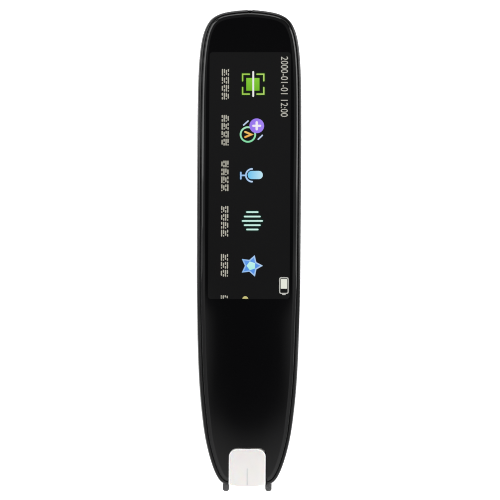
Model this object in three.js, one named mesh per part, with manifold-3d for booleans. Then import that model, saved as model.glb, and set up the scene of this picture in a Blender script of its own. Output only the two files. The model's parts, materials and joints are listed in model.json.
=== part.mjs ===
// Reading pen: a slim hand-held text scanner with a touch display, built as separate pieces.
// Millimetres. X is across the pen, Y runs along it (display end +Y, scanning nib -Y), Z is its thickness.
// The pen lies on its flat back, the display faces +Z, and the origin is the centre of the base of the whole object.

import * as THREE from 'three';
import * as BufferGeometryUtils from 'three/addons/utils/BufferGeometryUtils.js';
import Module from 'manifold-3d';

const wasm = await Module();
wasm.setup();

// ---------------------------------------------------------------- driving dimensions (mm)
const TOP_Y = 85.85;            // display end of the body
const NIB_Y = -84.2;            // lowest point of the body and of the nib window
const LEG_TIP_Y = -85.85;       // ends of the two trigger legs
const HALF_WIDTH = 18.58;       // widest half width of the body
const THICKNESS = 11.5;         // flat back to the glass

const RIM_Z = 10.95;            // crest of the shell's front rim
const RIM_INSET = 0.98;         // plan distance from the silhouette to the crest's inner edge
const LEDGE_Z = 10.05;          // step that carries the cover
const LEDGE_INSET = 2.0;
const FLOOR_Z = 1.3;            // inner floor of the shell
const COVER_INSET = 1.42;       // edge of the cover glass; the groove is COVER_INSET - RIM_INSET wide
const END_SHIFT = 0.3;          // the rim is this much narrower across the display end
const COVER_Z = 10.4;           // underside of the cover glass
const EDGE_WIDTH = 1.5;         // bevelled edge of the glass

const WINDOW_HALF = 6.57;       // nib window
const WINDOW_TOP_Y = -70.6;
const WINDOW_R = 2.86;
const WINDOW_GAP = 0.28;
const WINDOW_Z = 9.9;

const LEG_IN = 6.5;             // trigger legs, inner and outer faces
const LEG_OUT = 8.71;
const LEG_Z0 = 3.5;
const LEG_Z1 = 7.0;
const CROSSBAR_Y0 = -62.5;
const CROSSBAR_Y1 = -60.5;
const TRIGGER_TRAVEL = 0.8;

const CHAMBER_HALF = 6.2;       // light chamber around the reading field
const CHAMBER_WALL = 0.6;
const CAMERA_Z = 5.6;

const BUTTON_Y = 44;            // power button on the +X side
const BUTTON_Z = 5.4;
const BUTTON_LEN = 9.0;
const BUTTON_TALL = 2.7;
const BUTTON_FACE = 18.47;
const BUTTON_TRAVEL = 0.3;

const USB_Z = 4.43;             // receptacle axis
const USB_MOUTH_Y = 84.6;
const USB_W = 8.94;
const USB_H = 3.26;
const USB_LEN = 7.0;
const USB_WALL = 0.3;

const DISPLAY_X0 = -14.75;      // display stack, a little off the centre line
const DISPLAY_X1 = 15.25;
const DISPLAY_Y0 = -19.9;
const DISPLAY_Y1 = 71.3;

const BATTERY_HALF = 12.3;
const BATTERY_Y0 = -36.5;
const BATTERY_Y1 = 19.0;
const BOARD_Y0 = 24;
const BOARD_Y1 = 81;
const BOARD_Z0 = 1.9;
const BOARD_Z1 = 2.7;
const SPEAKER_Y0 = -52.6;
const SPEAKER_Y1 = -40;

const SCREW_XY = [[-10.4, 77.4], [10.4, 77.4], [-14.4, -27], [14.4, -27], [-13.2, -51.5], [13.2, -51.5]];
const BOSS_R = 1.75;
const SCREW_SHANK_R = 0.7;

// half of the silhouette, display end to nib, as a smooth curve through these stations
const SILHOUETTE = [
  [0, TOP_Y], [5.35, 85.45], [9.45, 84.7], [12.15, 83.6], [14.03, 82.15], [15.42, 80.1], [16.35, 77.9], [17.16, 74.7],
  [17.86, 69.3], [18.29, 61.8], [18.5, 50.5], [18.57, 34], [HALF_WIDTH, 16], [18.53, 0], [18.45, -14], [18.25, -25],
  [17.86, -38.5], [17.16, -50.5], [16.3, -59.2], [15.14, -67], [13.73, -73], [12.15, -77.8], [10.83, -80.6],
  [9.88, -81.95], [8.68, -82.95], [6.66, -83.7], [3.43, -84.1], [0, NIB_Y],
];

// ---------------------------------------------------------------- surface laws
const smooth = (a, b, v) => { const t = Math.min(1, Math.max(0, (v - a) / (b - a))); return t * t * (3 - 2 * t); };
// the front falls towards the nib and rounds over across the width; the back lifts a little under the nib
const frontDrop = (y) => (y > -35 ? 0 : 2.2 * ((-35 - y) / 49) ** 2);
const backLift = (y) => (y > -55 ? 0 : 1.3 * ((-55 - y) / 29) ** 2);
const domeAt = (y) => 0.6 * smooth(-20, -34, y) * (1 - 0.35 * smooth(-34, -64, y));
function warpZ(x, y, z) {
  const zb = backLift(y), zf = THICKNESS - frontDrop(y), k = z / THICKNESS;
  return zb + (zf - zb) * k - domeAt(y) * (x / HALF_WIDTH) ** 2 * k;
}

// silhouette samples: denser where it turns and where the front begins to round over
const CROWN_ROWS = [-20, -24.5, -29, -34];
const curve = new THREE.CatmullRomCurve3(SILHOUETTE.map(([x, y]) => new THREE.Vector3(x, y, 0)), false, 'centripetal');
function sampleSilhouette(turnLimit, lengthLimit) {
  const fine = curve.getSpacedPoints(1600);
  const tangent = fine.map((p, i) => fine[Math.min(i + 1, 1600)].clone().sub(fine[Math.max(i - 1, 0)]).normalize());
  tangent[0].set(1, 0, 0);
  tangent[1600].set(-1, 0, 0);
  const out = [];
  let last = 0, run = 0;
  const keep = (i) => out.push({ x: i === 0 || i === 1600 ? 0 : fine[i].x, y: fine[i].y, nx: -tangent[i].y, ny: tangent[i].x });
  keep(0);
  for (let i = 1; i < 1600; i++) {
    run += fine[i].distanceTo(fine[i - 1]);
    const row = CROWN_ROWS.some((y) => fine[i - 1].y > y && fine[i].y <= y);
    if (row || tangent[i].angleTo(tangent[last]) > turnLimit || run > lengthLimit) { keep(i); last = i; run = 0; }
  }
  keep(1600);
  return out;
}
const HALF = sampleSilhouette(THREE.MathUtils.degToRad(6.5), 11);
const HALF_COARSE = sampleSilhouette(THREE.MathUtils.degToRad(11), 16);

// the silhouette moved inwards by d, which may vary along the pen
function inset(half, d) {
  return half.map((p) => {
    const want = typeof d === 'function' ? d(p.y) : d;
    const near = Math.min(want, 1.5), far = want - near;
    const x = (p.x - p.nx * near) * (1 - far / HALF_WIDTH), y = (p.y - p.ny * near) * (1 - far / TOP_Y);
    return [p.x === 0 ? 0 : Math.max(0.02, x), y];
  });
}

const fromEdge = (d) => (y) => d - END_SHIFT * smooth(74, 84.5, y);

// ---------------------------------------------------------------- mesh and solid helpers
function meshGeometry(positions, index) {
  const g = new THREE.BufferGeometry();
  g.setAttribute('position', new THREE.BufferAttribute(new Float32Array(positions), 3));
  g.setIndex(index);
  return g;
}

// a closed body through a stack of symmetric rings; each level is { half, z } with half from +Y end to -Y end at x >= 0
function ringLoft(levels, columns = 1, shape = warpZ) {
  const n = levels[0].half.length, N = 2 * (n - 1);
  const positions = [], index = [];
  const put = (x, y, z) => { positions.push(x, y, shape(x, y, z)); return positions.length / 3 - 1; };
  const rings = levels.map(({ half, z }) => {
    const ring = half.map(([x, y]) => put(x, y, z));
    for (let i = n - 2; i > 0; i--) ring.push(put(-half[i][0], half[i][1], z));
    return ring;
  });
  for (let k = 0; k + 1 < rings.length; k++) {
    for (let i = 0; i < N; i++) {
      const a = rings[k][i], b = rings[k][(i + 1) % N], c = rings[k + 1][i], d = rings[k + 1][(i + 1) % N];
      index.push(a, b, d, a, d, c);
    }
  }
  const cap = (ring, level, flip) => {
    const rows = [];
    for (let i = 0; i < n; i++) {
      if (i === 0 || i === n - 1) { rows.push(Array(columns + 1).fill(ring[i])); continue; }
      const [x, y] = level.half[i], row = [ring[i]];
      for (let j = 1; j < columns; j++) row.push(put(x * (1 - 2 * j / columns), y, level.z));
      row.push(ring[N - i]);
      rows.push(row);
    }
    for (let i = 0; i + 1 < n; i++) {
      for (let j = 0; j < columns; j++) {
        const tri = [[rows[i][j], rows[i + 1][j], rows[i + 1][j + 1]], [rows[i][j], rows[i + 1][j + 1], rows[i][j + 1]]];
        for (const [a, b, c] of tri) if (a !== b && b !== c && a !== c) index.push(...(flip ? [a, c, b] : [a, b, c]));
      }
    }
  };
  cap(rings[0], levels[0], true);
  cap(rings[rings.length - 1], levels[levels.length - 1], false);
  const g = meshGeometry(positions, index);
  if (volume(g) < 0) flipFaces(g);
  return g;
}

function volume(g) {
  const p = g.getAttribute('position'), ix = g.getIndex().array;
  const a = new THREE.Vector3(), b = new THREE.Vector3(), c = new THREE.Vector3();
  let v = 0;
  for (let i = 0; i < ix.length; i += 3) {
    a.fromBufferAttribute(p, ix[i]); b.fromBufferAttribute(p, ix[i + 1]); c.fromBufferAttribute(p, ix[i + 2]);
    v += a.dot(b.cross(c)) / 6;
  }
  return v;
}

function flipFaces(g) {
  const ix = g.getIndex().array;
  for (let i = 0; i < ix.length; i += 3) { const t = ix[i + 1]; ix[i + 1] = ix[i + 2]; ix[i + 2] = t; }
}

function toSolid(geometry) {
  let g = geometry.clone();
  for (const name of Object.keys(g.attributes)) if (name !== 'position') g.deleteAttribute(name);
  g = BufferGeometryUtils.mergeVertices(g, 1e-4);
  return new wasm.Manifold(new wasm.Mesh({
    numProp: 3,
    vertProperties: new Float32Array(g.getAttribute('position').array),
    triVerts: new Uint32Array(g.getIndex().array),
  }));
}

function fromSolid(solid) {
  const m = solid.getMesh();
  return meshGeometry(m.vertProperties, Array.from(m.triVerts));
}

const cut = (base, ...tools) => fromSolid(tools.reduce((s, t) => s.subtract(toSolid(t)), toSolid(base)));
const join = (base, ...more) => fromSolid(more.reduce((s, t) => s.add(toSolid(t)), toSolid(base)));

const boxAt = (x0, x1, y0, y1, z0, z1) => new THREE.BoxGeometry(x1 - x0, y1 - y0, z1 - z0).translate((x0 + x1) / 2, (y0 + y1) / 2, (z0 + z1) / 2);
const rodZ = (x, y, z0, z1, r, sides = 12) => new THREE.CylinderGeometry(r, r, z1 - z0, sides).rotateX(Math.PI / 2).translate(x, y, (z0 + z1) / 2);
const rodY = (x, z, y0, y1, r, sides = 12) => new THREE.CylinderGeometry(r, r, y1 - y0, sides).translate(x, (y0 + y1) / 2, z);

function roundedShape(x0, x1, y0, y1, r, steps = 3) {
  const s = new THREE.Shape();
  const corner = (cx, cy, a0) => {
    for (let i = 0; i <= steps; i++) {
      const a = a0 + (i / steps) * Math.PI / 2;
      const px = cx + r * Math.cos(a), py = cy + r * Math.sin(a);
      if (s.curves.length === 0 && s.currentPoint.lengthSq() === 0 && !s.userData?.started) { s.moveTo(px, py); s.userData = { started: true }; } else s.lineTo(px, py);
    }
  };
  corner(x1 - r, y1 - r, 0);
  corner(x0 + r, y1 - r, Math.PI / 2);
  corner(x0 + r, y0 + r, Math.PI);
  corner(x1 - r, y0 + r, Math.PI * 1.5);
  s.closePath();
  return s;
}
const extrudeZ = (shape, z0, z1) => new THREE.ExtrudeGeometry(shape, { depth: z1 - z0, bevelEnabled: false, curveSegments: 4 }).translate(0, 0, z0);
// a section drawn as (x, z) swept along +Y from y0 to y1
const extrudeY = (shape, y0, y1) => new THREE.ExtrudeGeometry(shape, { depth: y1 - y0, bevelEnabled: false, curveSegments: 4 }).rotateX(Math.PI / 2).translate(0, y1, 0);
// a section drawn as (y, z) swept along +X from x0 to x1
const extrudeX = (shape, x0, x1) => new THREE.ExtrudeGeometry(shape, { depth: x1 - x0, bevelEnabled: false, curveSegments: 4 }).applyMatrix4(new THREE.Matrix4().set(0, 0, 1, x0, 1, 0, 0, 0, 0, 1, 0, 0, 0, 0, 0, 1));
const polygon = (points) => new THREE.Shape(points.map(([a, b]) => new THREE.Vector2(a, b)));

// a flat strip of thickness t whose side view follows the points (y, z), used for flexible printed circuits
function stripAlong(points, t, x0, x1) {
  const side = (s) => points.map(([y, z], i) => {
    const a = points[Math.max(0, i - 1)], b = points[Math.min(points.length - 1, i + 1)];
    const l = Math.hypot(b[0] - a[0], b[1] - a[1]);
    return [y - s * t / 2 * (b[1] - a[1]) / l, z + s * t / 2 * (b[0] - a[0]) / l];
  });
  return extrudeX(polygon([...side(1), ...side(-1).reverse()]), x0, x1);
}

// ---------------------------------------------------------------- finishes
const finish = (color, roughness, metalness = 0, extra = {}) => () => new THREE.MeshStandardMaterial({ color, roughness, metalness, ...extra });
const shellBlack = finish(0x18191b, 0.42);
const coverBlack = finish(0x08090b, 0.06);
const legGrey = finish(0x2b2c2e, 0.38);
const clearPlastic = finish(0xeceae8, 0.12, 0, { transparent: true, opacity: 0.85 });
const whitePlastic = finish(0xf0f0ee, 0.5);
const steel = finish(0xb9bcc0, 0.3, 1);
const boardGreen = finish(0x1c4a33, 0.5);
const chipBlack = finish(0x1b1b1d, 0.55);
const flexAmber = finish(0x9a5a1c, 0.45);
const foamGrey = finish(0x3a3b3d, 0.9);
const glassDark = finish(0x15181c, 0.08);
const silverFoil = finish(0xbfc2c6, 0.4, 0.8);
const brass = finish(0xc0a052, 0.35, 1);

const pen = new THREE.Group();
const housing = new THREE.Group();
const displayStack = new THREE.Group();
const electronics = new THREE.Group();
const nib = new THREE.Group();
const trigger = new THREE.Group();
const power = new THREE.Group();
pen.add(housing, displayStack, electronics, nib, trigger, power);

function piece(parent, name, geometry, material, at = [0, 0, 0]) {
  let g = geometry.clone();
  for (const key of Object.keys(g.attributes)) if (key !== 'position') g.deleteAttribute(key);
  g = BufferGeometryUtils.mergeVertices(g, 1e-4).toNonIndexed();
  g.computeVertexNormals();
  const mesh = new THREE.Mesh(g, material());
  mesh.name = name;
  mesh.position.set(...at);
  parent.add(mesh);
  return mesh;
}

// ---------------------------------------------------------------- rear shell
// outer skin from the flat back up to the rim crest, then the groove wall, the ledge, the inner wall and the floor
const SHELL_LEVELS = [
  [0, 5.0], [0.35, 3.35], [1.0, 2.2], [1.9, 1.36], [3.0, 0.68], [4.4, 0.2], [6.0, 0],
  [9.3, 0.02], [10.1, 0.16], [10.6, 0.42], [RIM_Z, fromEdge(RIM_INSET)], [LEDGE_Z, fromEdge(RIM_INSET)], [LEDGE_Z, LEDGE_INSET],
  [4.6, 1.9], [2.6, 2.5], [FLOOR_Z, 4.2],
];
const shellBlank = ringLoft(SHELL_LEVELS.map(([z, d]) => ({ half: inset(HALF, d), z })));

// mouth of the reading field and of the leg guides, at the nib end
const throatCut = boxAt(-CHAMBER_HALF - 0.25, CHAMBER_HALF + 0.25, -90, -77, 2.75, 9.4);
const windowCut = boxAt(-WINDOW_HALF - WINDOW_GAP, WINDOW_HALF + WINDOW_GAP, -90, -77, 7.3, 12);
const legCut = boxAt(-LEG_OUT - 0.24, LEG_OUT + 0.24, -90, -78, LEG_Z0 - 0.25, LEG_Z1 + 0.25);
// charging port, microphone hole, lanyard eye, button slot
const usbCut = extrudeY(roundedShape(-4.82, 4.82, USB_Z - 1.95, USB_Z + 1.95, 1.9, 4), 82, 87);
const micCut = rodY(-6.9, 3.9, 81.5, 87, 0.45, 8);
const eyeCut = boxAt(-0.92, 0.92, 84.35, 87, 7.5, 12);
const buttonCut = extrudeX(roundedShape(BUTTON_Y - BUTTON_LEN / 2 - 0.2, BUTTON_Y + BUTTON_LEN / 2 + 0.2, BUTTON_Z - BUTTON_TALL / 2 - 0.2, BUTTON_Z + BUTTON_TALL / 2 + 0.2, 1.5, 4), 15, 20);
const grilleCuts = [];
for (let i = 0; i < 6; i++) {
  const x = -6 + i * 2.4;
  grilleCuts.push(extrudeZ(roundedShape(x - 0.5, x + 0.5, -50, -42.6, 0.48, 3), -1, 3));
}
const bosses = SCREW_XY.map(([x, y]) => rodZ(x, y, 0.9, warpZ(x, y, 7.2) - 0.14, BOSS_R, 14));
const bossHoles = SCREW_XY.map(([x, y]) => rodZ(x, y, 2.4, 8.2, SCREW_SHANK_R + 0.3, 10));
const boardPosts = [[-5, 30], [5, 30], [-5, 60], [5, 60]].map(([x, y]) => rodZ(x, y, 0.9, BOARD_Z0 - 0.05, 1.2, 8));
const stopRibs = [-1, 1].map((s) => boxAt(Math.min(s * 9.15, s * 13.9), Math.max(s * 9.15, s * 13.9), -67.4, -66.3, 1.0, 6.8));
const springSeats = [-1, 1].map((s) => boxAt(Math.min(s * 6.0, s * 9.3), Math.max(s * 6.0, s * 9.3), -55.4, -54.2, 1.0, 6.3));
const eyeBar = boxAt(-0.3, 0.3, 84.95, 85.5, 7.0, 10.7);


// posts, ribs and seats are trimmed to the outer skin before they join the shell
const outerSkin = toSolid(ringLoft(SHELL_LEVELS.slice(0, 11).map(([z, d]) => ({ half: inset(HALF, d), z: Math.max(z, 0.02) }))));
const inner = [...bosses, ...boardPosts, ...stopRibs, ...springSeats].map((g) => fromSolid(toSolid(g).intersect(outerSkin)));
const rearShell = join(
  cut(join(shellBlank, ...inner), ...bossHoles, throatCut, windowCut, legCut, usbCut, micCut, eyeCut, buttonCut, ...grilleCuts), eyeBar,
);
piece(housing, 'rear_shell', rearShell, shellBlack);

// ---------------------------------------------------------------- cover glass and what bonds it
const coverBlank = ringLoft([
  { half: inset(HALF, fromEdge(COVER_INSET)), z: COVER_Z },
  { half: inset(HALF, fromEdge(COVER_INSET)), z: 11.04 },
  { half: inset(HALF, fromEdge(COVER_INSET + 0.5)), z: 11.3 },
  { half: inset(HALF, fromEdge(COVER_INSET + EDGE_WIDTH)), z: THICKNESS },
], 4);
const coverWindowCut = extrudeZ(roundedShape(-WINDOW_HALF - WINDOW_GAP, WINDOW_HALF + WINDOW_GAP, -95, WINDOW_TOP_Y + WINDOW_GAP, WINDOW_R + WINDOW_GAP, 5), 6, 13);
piece(housing, 'front_cover', cut(coverBlank, coverWindowCut), coverBlack);

const adhesiveLevel = (d, z) => ({ half: inset(HALF_COARSE, d), z });
const adhesiveRing = cut(
  ringLoft([adhesiveLevel(1.55, LEDGE_Z + 0.06), adhesiveLevel(1.55, COVER_Z - 0.06)], 2),
  ringLoft([adhesiveLevel(2.15, LEDGE_Z - 0.6), adhesiveLevel(2.15, COVER_Z + 0.6)], 2),
  boxAt(-7.3, 7.3, -95, -70, 5, 13),
);
piece(housing, 'cover_adhesive', adhesiveRing, foamGrey);

// ---------------------------------------------------------------- mid frame: tray that carries the display and clamps the electronics
const frameLevel = (d, z) => ({ half: inset(HALF_COARSE, d), z });
const frameBlank = ringLoft([frameLevel(2.25, 7.2), frameLevel(2.25, 9.95), frameLevel(3.05, 9.95), frameLevel(3.05, 8.0)]);
const frameCuts = [
  boxAt(-30, 30, -95, -59.5, 0, 13),
  boxAt(DISPLAY_X0 - 0.15, DISPLAY_X1 + 0.15, DISPLAY_Y0 - 0.3, DISPLAY_Y1 + 0.3, 8.0, 13),
  boxAt(3.4, 12.6, -23.6, -20.6, 6, 13),
  ...SCREW_XY.map(([x, y]) => rodZ(x, y, 6, 9, SCREW_SHANK_R + 0.25, 10)),
  ...SCREW_XY.map(([x, y]) => rodZ(x, y, warpZ(x, y, 8.0), 12, 1.62, 12)),
];
piece(housing, 'mid_frame', cut(frameBlank, ...frameCuts), finish(0x24262a, 0.6));

// ---------------------------------------------------------------- screws: pan head, shank, cross recess
function screwGeometry() {
  const head = [[0, 0.85], [1.05, 0.85], [1.3, 0.62], [1.35, 0.0], [SCREW_SHANK_R, 0.0], [SCREW_SHANK_R, -4.2], [0.3, -4.7], [0, -4.7]];
  const body = new THREE.LatheGeometry(head.reverse().map(([r, z]) => new THREE.Vector2(r, z)), 10).rotateX(Math.PI / 2);
  return cut(body, boxAt(-0.75, 0.75, -0.16, 0.16, 0.45, 1.2), boxAt(-0.16, 0.16, -0.75, 0.75, 0.45, 1.2));
}
const screwSolid = screwGeometry();
SCREW_XY.forEach(([x, y], i) => piece(housing, `screw_${i + 1}`, screwSolid, steel, [x, y, warpZ(x, y, 8.0) + 0.06]));

// ---------------------------------------------------------------- display stack, bottom to top
function layer(name, z0, z1, material, chamfer = 1.0, margin = 0) {
  const w = DISPLAY_X1 - DISPLAY_X0 - 2 * margin, h = DISPLAY_Y1 - DISPLAY_Y0 - 2 * margin;
  const s = polygon([[-w / 2, -h / 2], [w / 2, -h / 2], [w / 2, h / 2 - chamfer], [w / 2 - chamfer, h / 2], [-w / 2 + chamfer, h / 2], [-w / 2, h / 2 - chamfer]]);
  piece(displayStack, name, extrudeZ(s, 0, z1 - z0), material, [(DISPLAY_X0 + DISPLAY_X1) / 2, (DISPLAY_Y0 + DISPLAY_Y1) / 2, z0]);
}
layer('display_backlight', 8.06, 9.0, silverFoil);
layer('display_panel', 9.06, 9.86, glassDark);
layer('touch_sensor', 9.92, 10.08, glassDark, 1.0, 0.2);
layer('optical_adhesive', 10.14, 10.34, clearPlastic, 1.0, 0.4);
piece(displayStack, 'display_flex', stripAlong([[-20.05, 8.5], [-21.4, 8.5], [-22.1, 8.1], [-22.1, 7.2], [-21.4, 6.68], [-19.5, 6.62], [19.0, 6.62], [21.0, 6.2], [24.2, 4.6], [25.2, 4.3], [28.2, 4.3]], 0.14, 4, 12), flexAmber);

// ---------------------------------------------------------------- main board and what sits on it
const boardShape = polygon([[-12.4, BOARD_Y0], [12.4, BOARD_Y0], [12.4, 71], [8.2, 74], [8.2, BOARD_Y1 - 1.5], [6.7, BOARD_Y1], [-6.7, BOARD_Y1], [-8.2, BOARD_Y1 - 1.5], [-8.2, 74], [-12.4, 71]]);
piece(electronics, 'main_board', extrudeZ(boardShape, 0, BOARD_Z1 - BOARD_Z0), boardGreen, [0, 0, BOARD_Z0]);
const onBoard = (name, w, l, h, x, y, material) => piece(electronics, name, new THREE.BoxGeometry(w, l, h), material, [x, y, BOARD_Z1 + 0.05 + h / 2]);
onBoard('display_connector', 8.6, 3.0, 1.4, 8, 26.9, finish(0xd8d2c2, 0.5));
onBoard('camera_connector', 5.6, 3.0, 1.4, -3.4, 26.9, finish(0xd8d2c2, 0.5));
onBoard('processor', 11, 11, 1.1, 0, 46, chipBlack);
onBoard('memory_chip', 8, 10, 0.9, -3, 65, chipBlack);
onBoard('power_inductor', 3, 3, 1.6, 6.5, 64, finish(0x4a4644, 0.7));
piece(electronics, 'shield_can', cut(boxAt(-9, 9, -10.5, 10.5, 0, 1.9), boxAt(-8.75, 8.75, -10.25, 10.25, -1, 1.65)), steel, [0, 46, BOARD_Z1 + 0.05]);

// charging receptacle: rolled steel shell, open at its mouth, and the contact tongue inside
const usbOuter = extrudeY(roundedShape(-USB_W / 2, USB_W / 2, -USB_H / 2, USB_H / 2, USB_H / 2 - 0.02, 5), -USB_LEN, 0);
const usbInner = extrudeY(roundedShape(-USB_W / 2 + USB_WALL, USB_W / 2 - USB_WALL, -USB_H / 2 + USB_WALL, USB_H / 2 - USB_WALL, USB_H / 2 - USB_WALL - 0.02, 5), -USB_LEN + 0.4, 1);
piece(electronics, 'usb_receptacle_shell', cut(usbOuter, usbInner), steel, [0, USB_MOUTH_Y, USB_Z]);
const tongueBase = extrudeY(roundedShape(-4.05, 4.05, -1.2, 1.2, 1.1, 3), -USB_LEN + 0.5, -USB_LEN + 1.7);
piece(electronics, 'usb_receptacle_tongue', join(tongueBase, boxAt(-3.35, 3.35, -USB_LEN + 1.0, -0.9, -0.35, 0.35)), chipBlack, [0, USB_MOUTH_Y, USB_Z]);

// microphone capsule and the rubber boot that joins it to its hole in the end wall
piece(electronics, 'microphone', rodY(0, 0, -0.75, 0.75, 1.1, 12), silverFoil, [-6.9, 79.9, 3.9]);
piece(electronics, 'microphone_boot', cut(rodY(0, 0, -0.9, 0.9, 1.15, 12), rodY(0, 0, -2, 2, 0.42, 8)), finish(0x202123, 0.85), [-6.9, 81.75, 3.9]);

// wireless antenna, a printed strip standing along the inner side wall
piece(electronics, 'antenna', new THREE.BoxGeometry(0.15, 20, 2.6), flexAmber, [-15.9, 52, 5.2]);

// ---------------------------------------------------------------- battery
piece(electronics, 'battery_pad', new THREE.BoxGeometry(20, 50, 0.3), foamGrey, [0, (BATTERY_Y0 + BATTERY_Y1) / 2, 1.52]);
piece(electronics, 'battery_cell', extrudeY(roundedShape(-BATTERY_HALF, BATTERY_HALF, -2.3, 2.3, 0.9, 2), -27.5, 27.5), silverFoil, [0, (BATTERY_Y0 + BATTERY_Y1) / 2, 4.03]);
piece(electronics, 'battery_board', new THREE.BoxGeometry(17, 2.0, 1.4), boardGreen, [0, 20.4, 4.0]);

// ---------------------------------------------------------------- speaker
const speakerY = (SPEAKER_Y0 + SPEAKER_Y1) / 2, speakerL = SPEAKER_Y1 - SPEAKER_Y0;
piece(electronics, 'speaker_mesh', new THREE.BoxGeometry(15.6, 9.6, 0.14), foamGrey, [0, speakerY, 1.42]);
piece(electronics, 'speaker_gasket', cut(boxAt(-9.2, 9.2, -6.1, 6.1, 0, 0.5), boxAt(-7.4, 7.4, -4.5, 4.5, -1, 2)), foamGrey, [0, speakerY, 1.55]);
piece(electronics, 'speaker_module', join(boxAt(-9.4, 9.4, -speakerL / 2, speakerL / 2, 0, 3.2), boxAt(-7, 7, -4.2, 4.2, 3.0, 4.0)), chipBlack, [0, speakerY, 2.12]);

// ---------------------------------------------------------------- nib: window, light chamber, lamps, camera
const windowHalf = [];
{
  const cx = WINDOW_HALF - WINDOW_R, cy = WINDOW_TOP_Y - WINDOW_R;
  windowHalf.push([0, WINDOW_TOP_Y]);
  for (let i = 0; i <= 5; i++) { const a = Math.PI / 2 * (1 - i / 5); windowHalf.push([cx + WINDOW_R * Math.cos(a), cy + WINDOW_R * Math.sin(a)]); }
  for (const y of [-75, -77, -79, -81, -82.6]) windowHalf.push([WINDOW_HALF, y]);
  windowHalf.push([WINDOW_HALF - 0.02, -83.35], [5.9, -83.62], [4.2, -83.9], [2.1, -84.12], [0, NIB_Y]);
}
const shrink = (half, d) => half.map(([x, y], i) => {
  const cy = (WINDOW_TOP_Y + NIB_Y) / 2, ky = 1 - d / (cy - NIB_Y), kx = 1 - d / WINDOW_HALF;
  return [x * kx, cy + (y - cy) * ky];
});
piece(nib, 'nib_window', ringLoft([
  { half: windowHalf, z: WINDOW_Z },
  { half: windowHalf, z: 11.05 },
  { half: shrink(windowHalf, 0.33), z: THICKNESS },
], 4), clearPlastic);

// white box, open towards the page, closed above by the window
const chamberSide = (z0, y0, y1, lift) => polygon([[y0, z0], [y1, z0], [y1, warpZ(CHAMBER_HALF, y1, WINDOW_Z) - 0.12 + lift], [(y0 + y1) / 2, warpZ(CHAMBER_HALF, (y0 + y1) / 2, WINDOW_Z) - 0.12 + lift], [y0, warpZ(CHAMBER_HALF, y0, WINDOW_Z) - 0.12 + lift]]);
const chamberOuter = extrudeX(chamberSide(3.0, -83.3, -69.6, 0), -CHAMBER_HALF, CHAMBER_HALF);
const chamberInner = extrudeX(polygon([[-90, 3.62], [-70.2, 3.62], [-70.2, 12], [-90, 12]]), -CHAMBER_HALF + CHAMBER_WALL, CHAMBER_HALF - CHAMBER_WALL);
piece(nib, 'light_chamber', cut(chamberOuter, chamberInner,
  rodY(0, CAMERA_Z, -71, -69, 2.5, 12),
  boxAt(-5.0, -3.2, -71, -69, CAMERA_Z - 0.9, CAMERA_Z + 0.9),
  boxAt(3.2, 5.0, -71, -69, CAMERA_Z - 0.9, CAMERA_Z + 0.9)), whitePlastic);

piece(nib, 'lamp_board', cut(boxAt(-5.8, 5.8, -0.3, 0.3, -2.95, 2.95), rodY(0, 0, -1, 1, 2.3, 12)), boardGreen, [0, -68.9, CAMERA_Z]);
for (const s of [-1, 1]) piece(nib, s < 0 ? 'lamp_left' : 'lamp_right', new THREE.BoxGeometry(1.5, 0.7, 1.4), finish(0xf3ecb8, 0.4), [s * 4.1, -69.6, CAMERA_Z]);
piece(nib, 'camera_lens', new THREE.LatheGeometry([[0, 0], [2.0, 0], [2.0, 3.3], [1.6, 3.5], [1.1, 3.3], [0, 3.0]].map(([r, h]) => new THREE.Vector2(r, h)), 14).rotateX(Math.PI), glassDark, [0, -66.6, CAMERA_Z]);
piece(nib, 'camera_holder', cut(boxAt(-3.6, 3.6, -68.3, -63.9, 3.5, 7.7), rodY(0, CAMERA_Z, -70, -65.9, 2.15, 14)), chipBlack);
piece(nib, 'camera_board', new THREE.BoxGeometry(8.4, 0.6, 4.6), boardGreen, [0, -63.5, CAMERA_Z]);
piece(nib, 'camera_flex', stripAlong([[-63.1, 6.2], [-62.0, 6.35], [-60.6, 6.5], [-57, 6.5], [-36, 6.62], [19.0, 6.62], [21.0, 6.2], [24.2, 4.6], [25.2, 4.3], [28.2, 4.3]], 0.14, -5.8, -1.0), flexAmber);

// ---------------------------------------------------------------- scan trigger: two legs joined by a bar that passes under the camera
function legShape(s) {
  const r = 0.7, a = LEG_IN, b = LEG_OUT, y0 = LEG_TIP_Y, y1 = CROSSBAR_Y1, pts = [];
  for (let i = 0; i <= 3; i++) { const t = Math.PI * (1 + i / 6); pts.push([a + r + r * Math.cos(t), y0 + r + r * Math.sin(t)]); }
  for (let i = 0; i <= 3; i++) { const t = Math.PI * (1.5 + i / 6); pts.push([b - r + r * Math.cos(t), y0 + r + r * Math.sin(t)]); }
  // stop shoulder on the outer side
  pts.push([b, -66.1], [b + 1.4, -66.1], [b + 1.4, -64.6], [b, -64.6], [b, y1], [a, y1]);
  const q = pts.map(([x, y]) => [s * x, y]);
  return polygon(s < 0 ? q.reverse() : q);
}
const triggerSolid = join(
  extrudeZ(legShape(1), LEG_Z0, LEG_Z1), extrudeZ(legShape(-1), LEG_Z0, LEG_Z1),
  boxAt(LEG_IN, LEG_OUT, CROSSBAR_Y0, CROSSBAR_Y1, 1.65, LEG_Z0 + 0.5), boxAt(-LEG_OUT, -LEG_IN, CROSSBAR_Y0, CROSSBAR_Y1, 1.65, LEG_Z0 + 0.5),
  boxAt(-LEG_OUT, LEG_OUT, CROSSBAR_Y0, CROSSBAR_Y1, 1.65, 2.9),
);
piece(trigger, 'scan_trigger', triggerSolid, legGrey);

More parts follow.
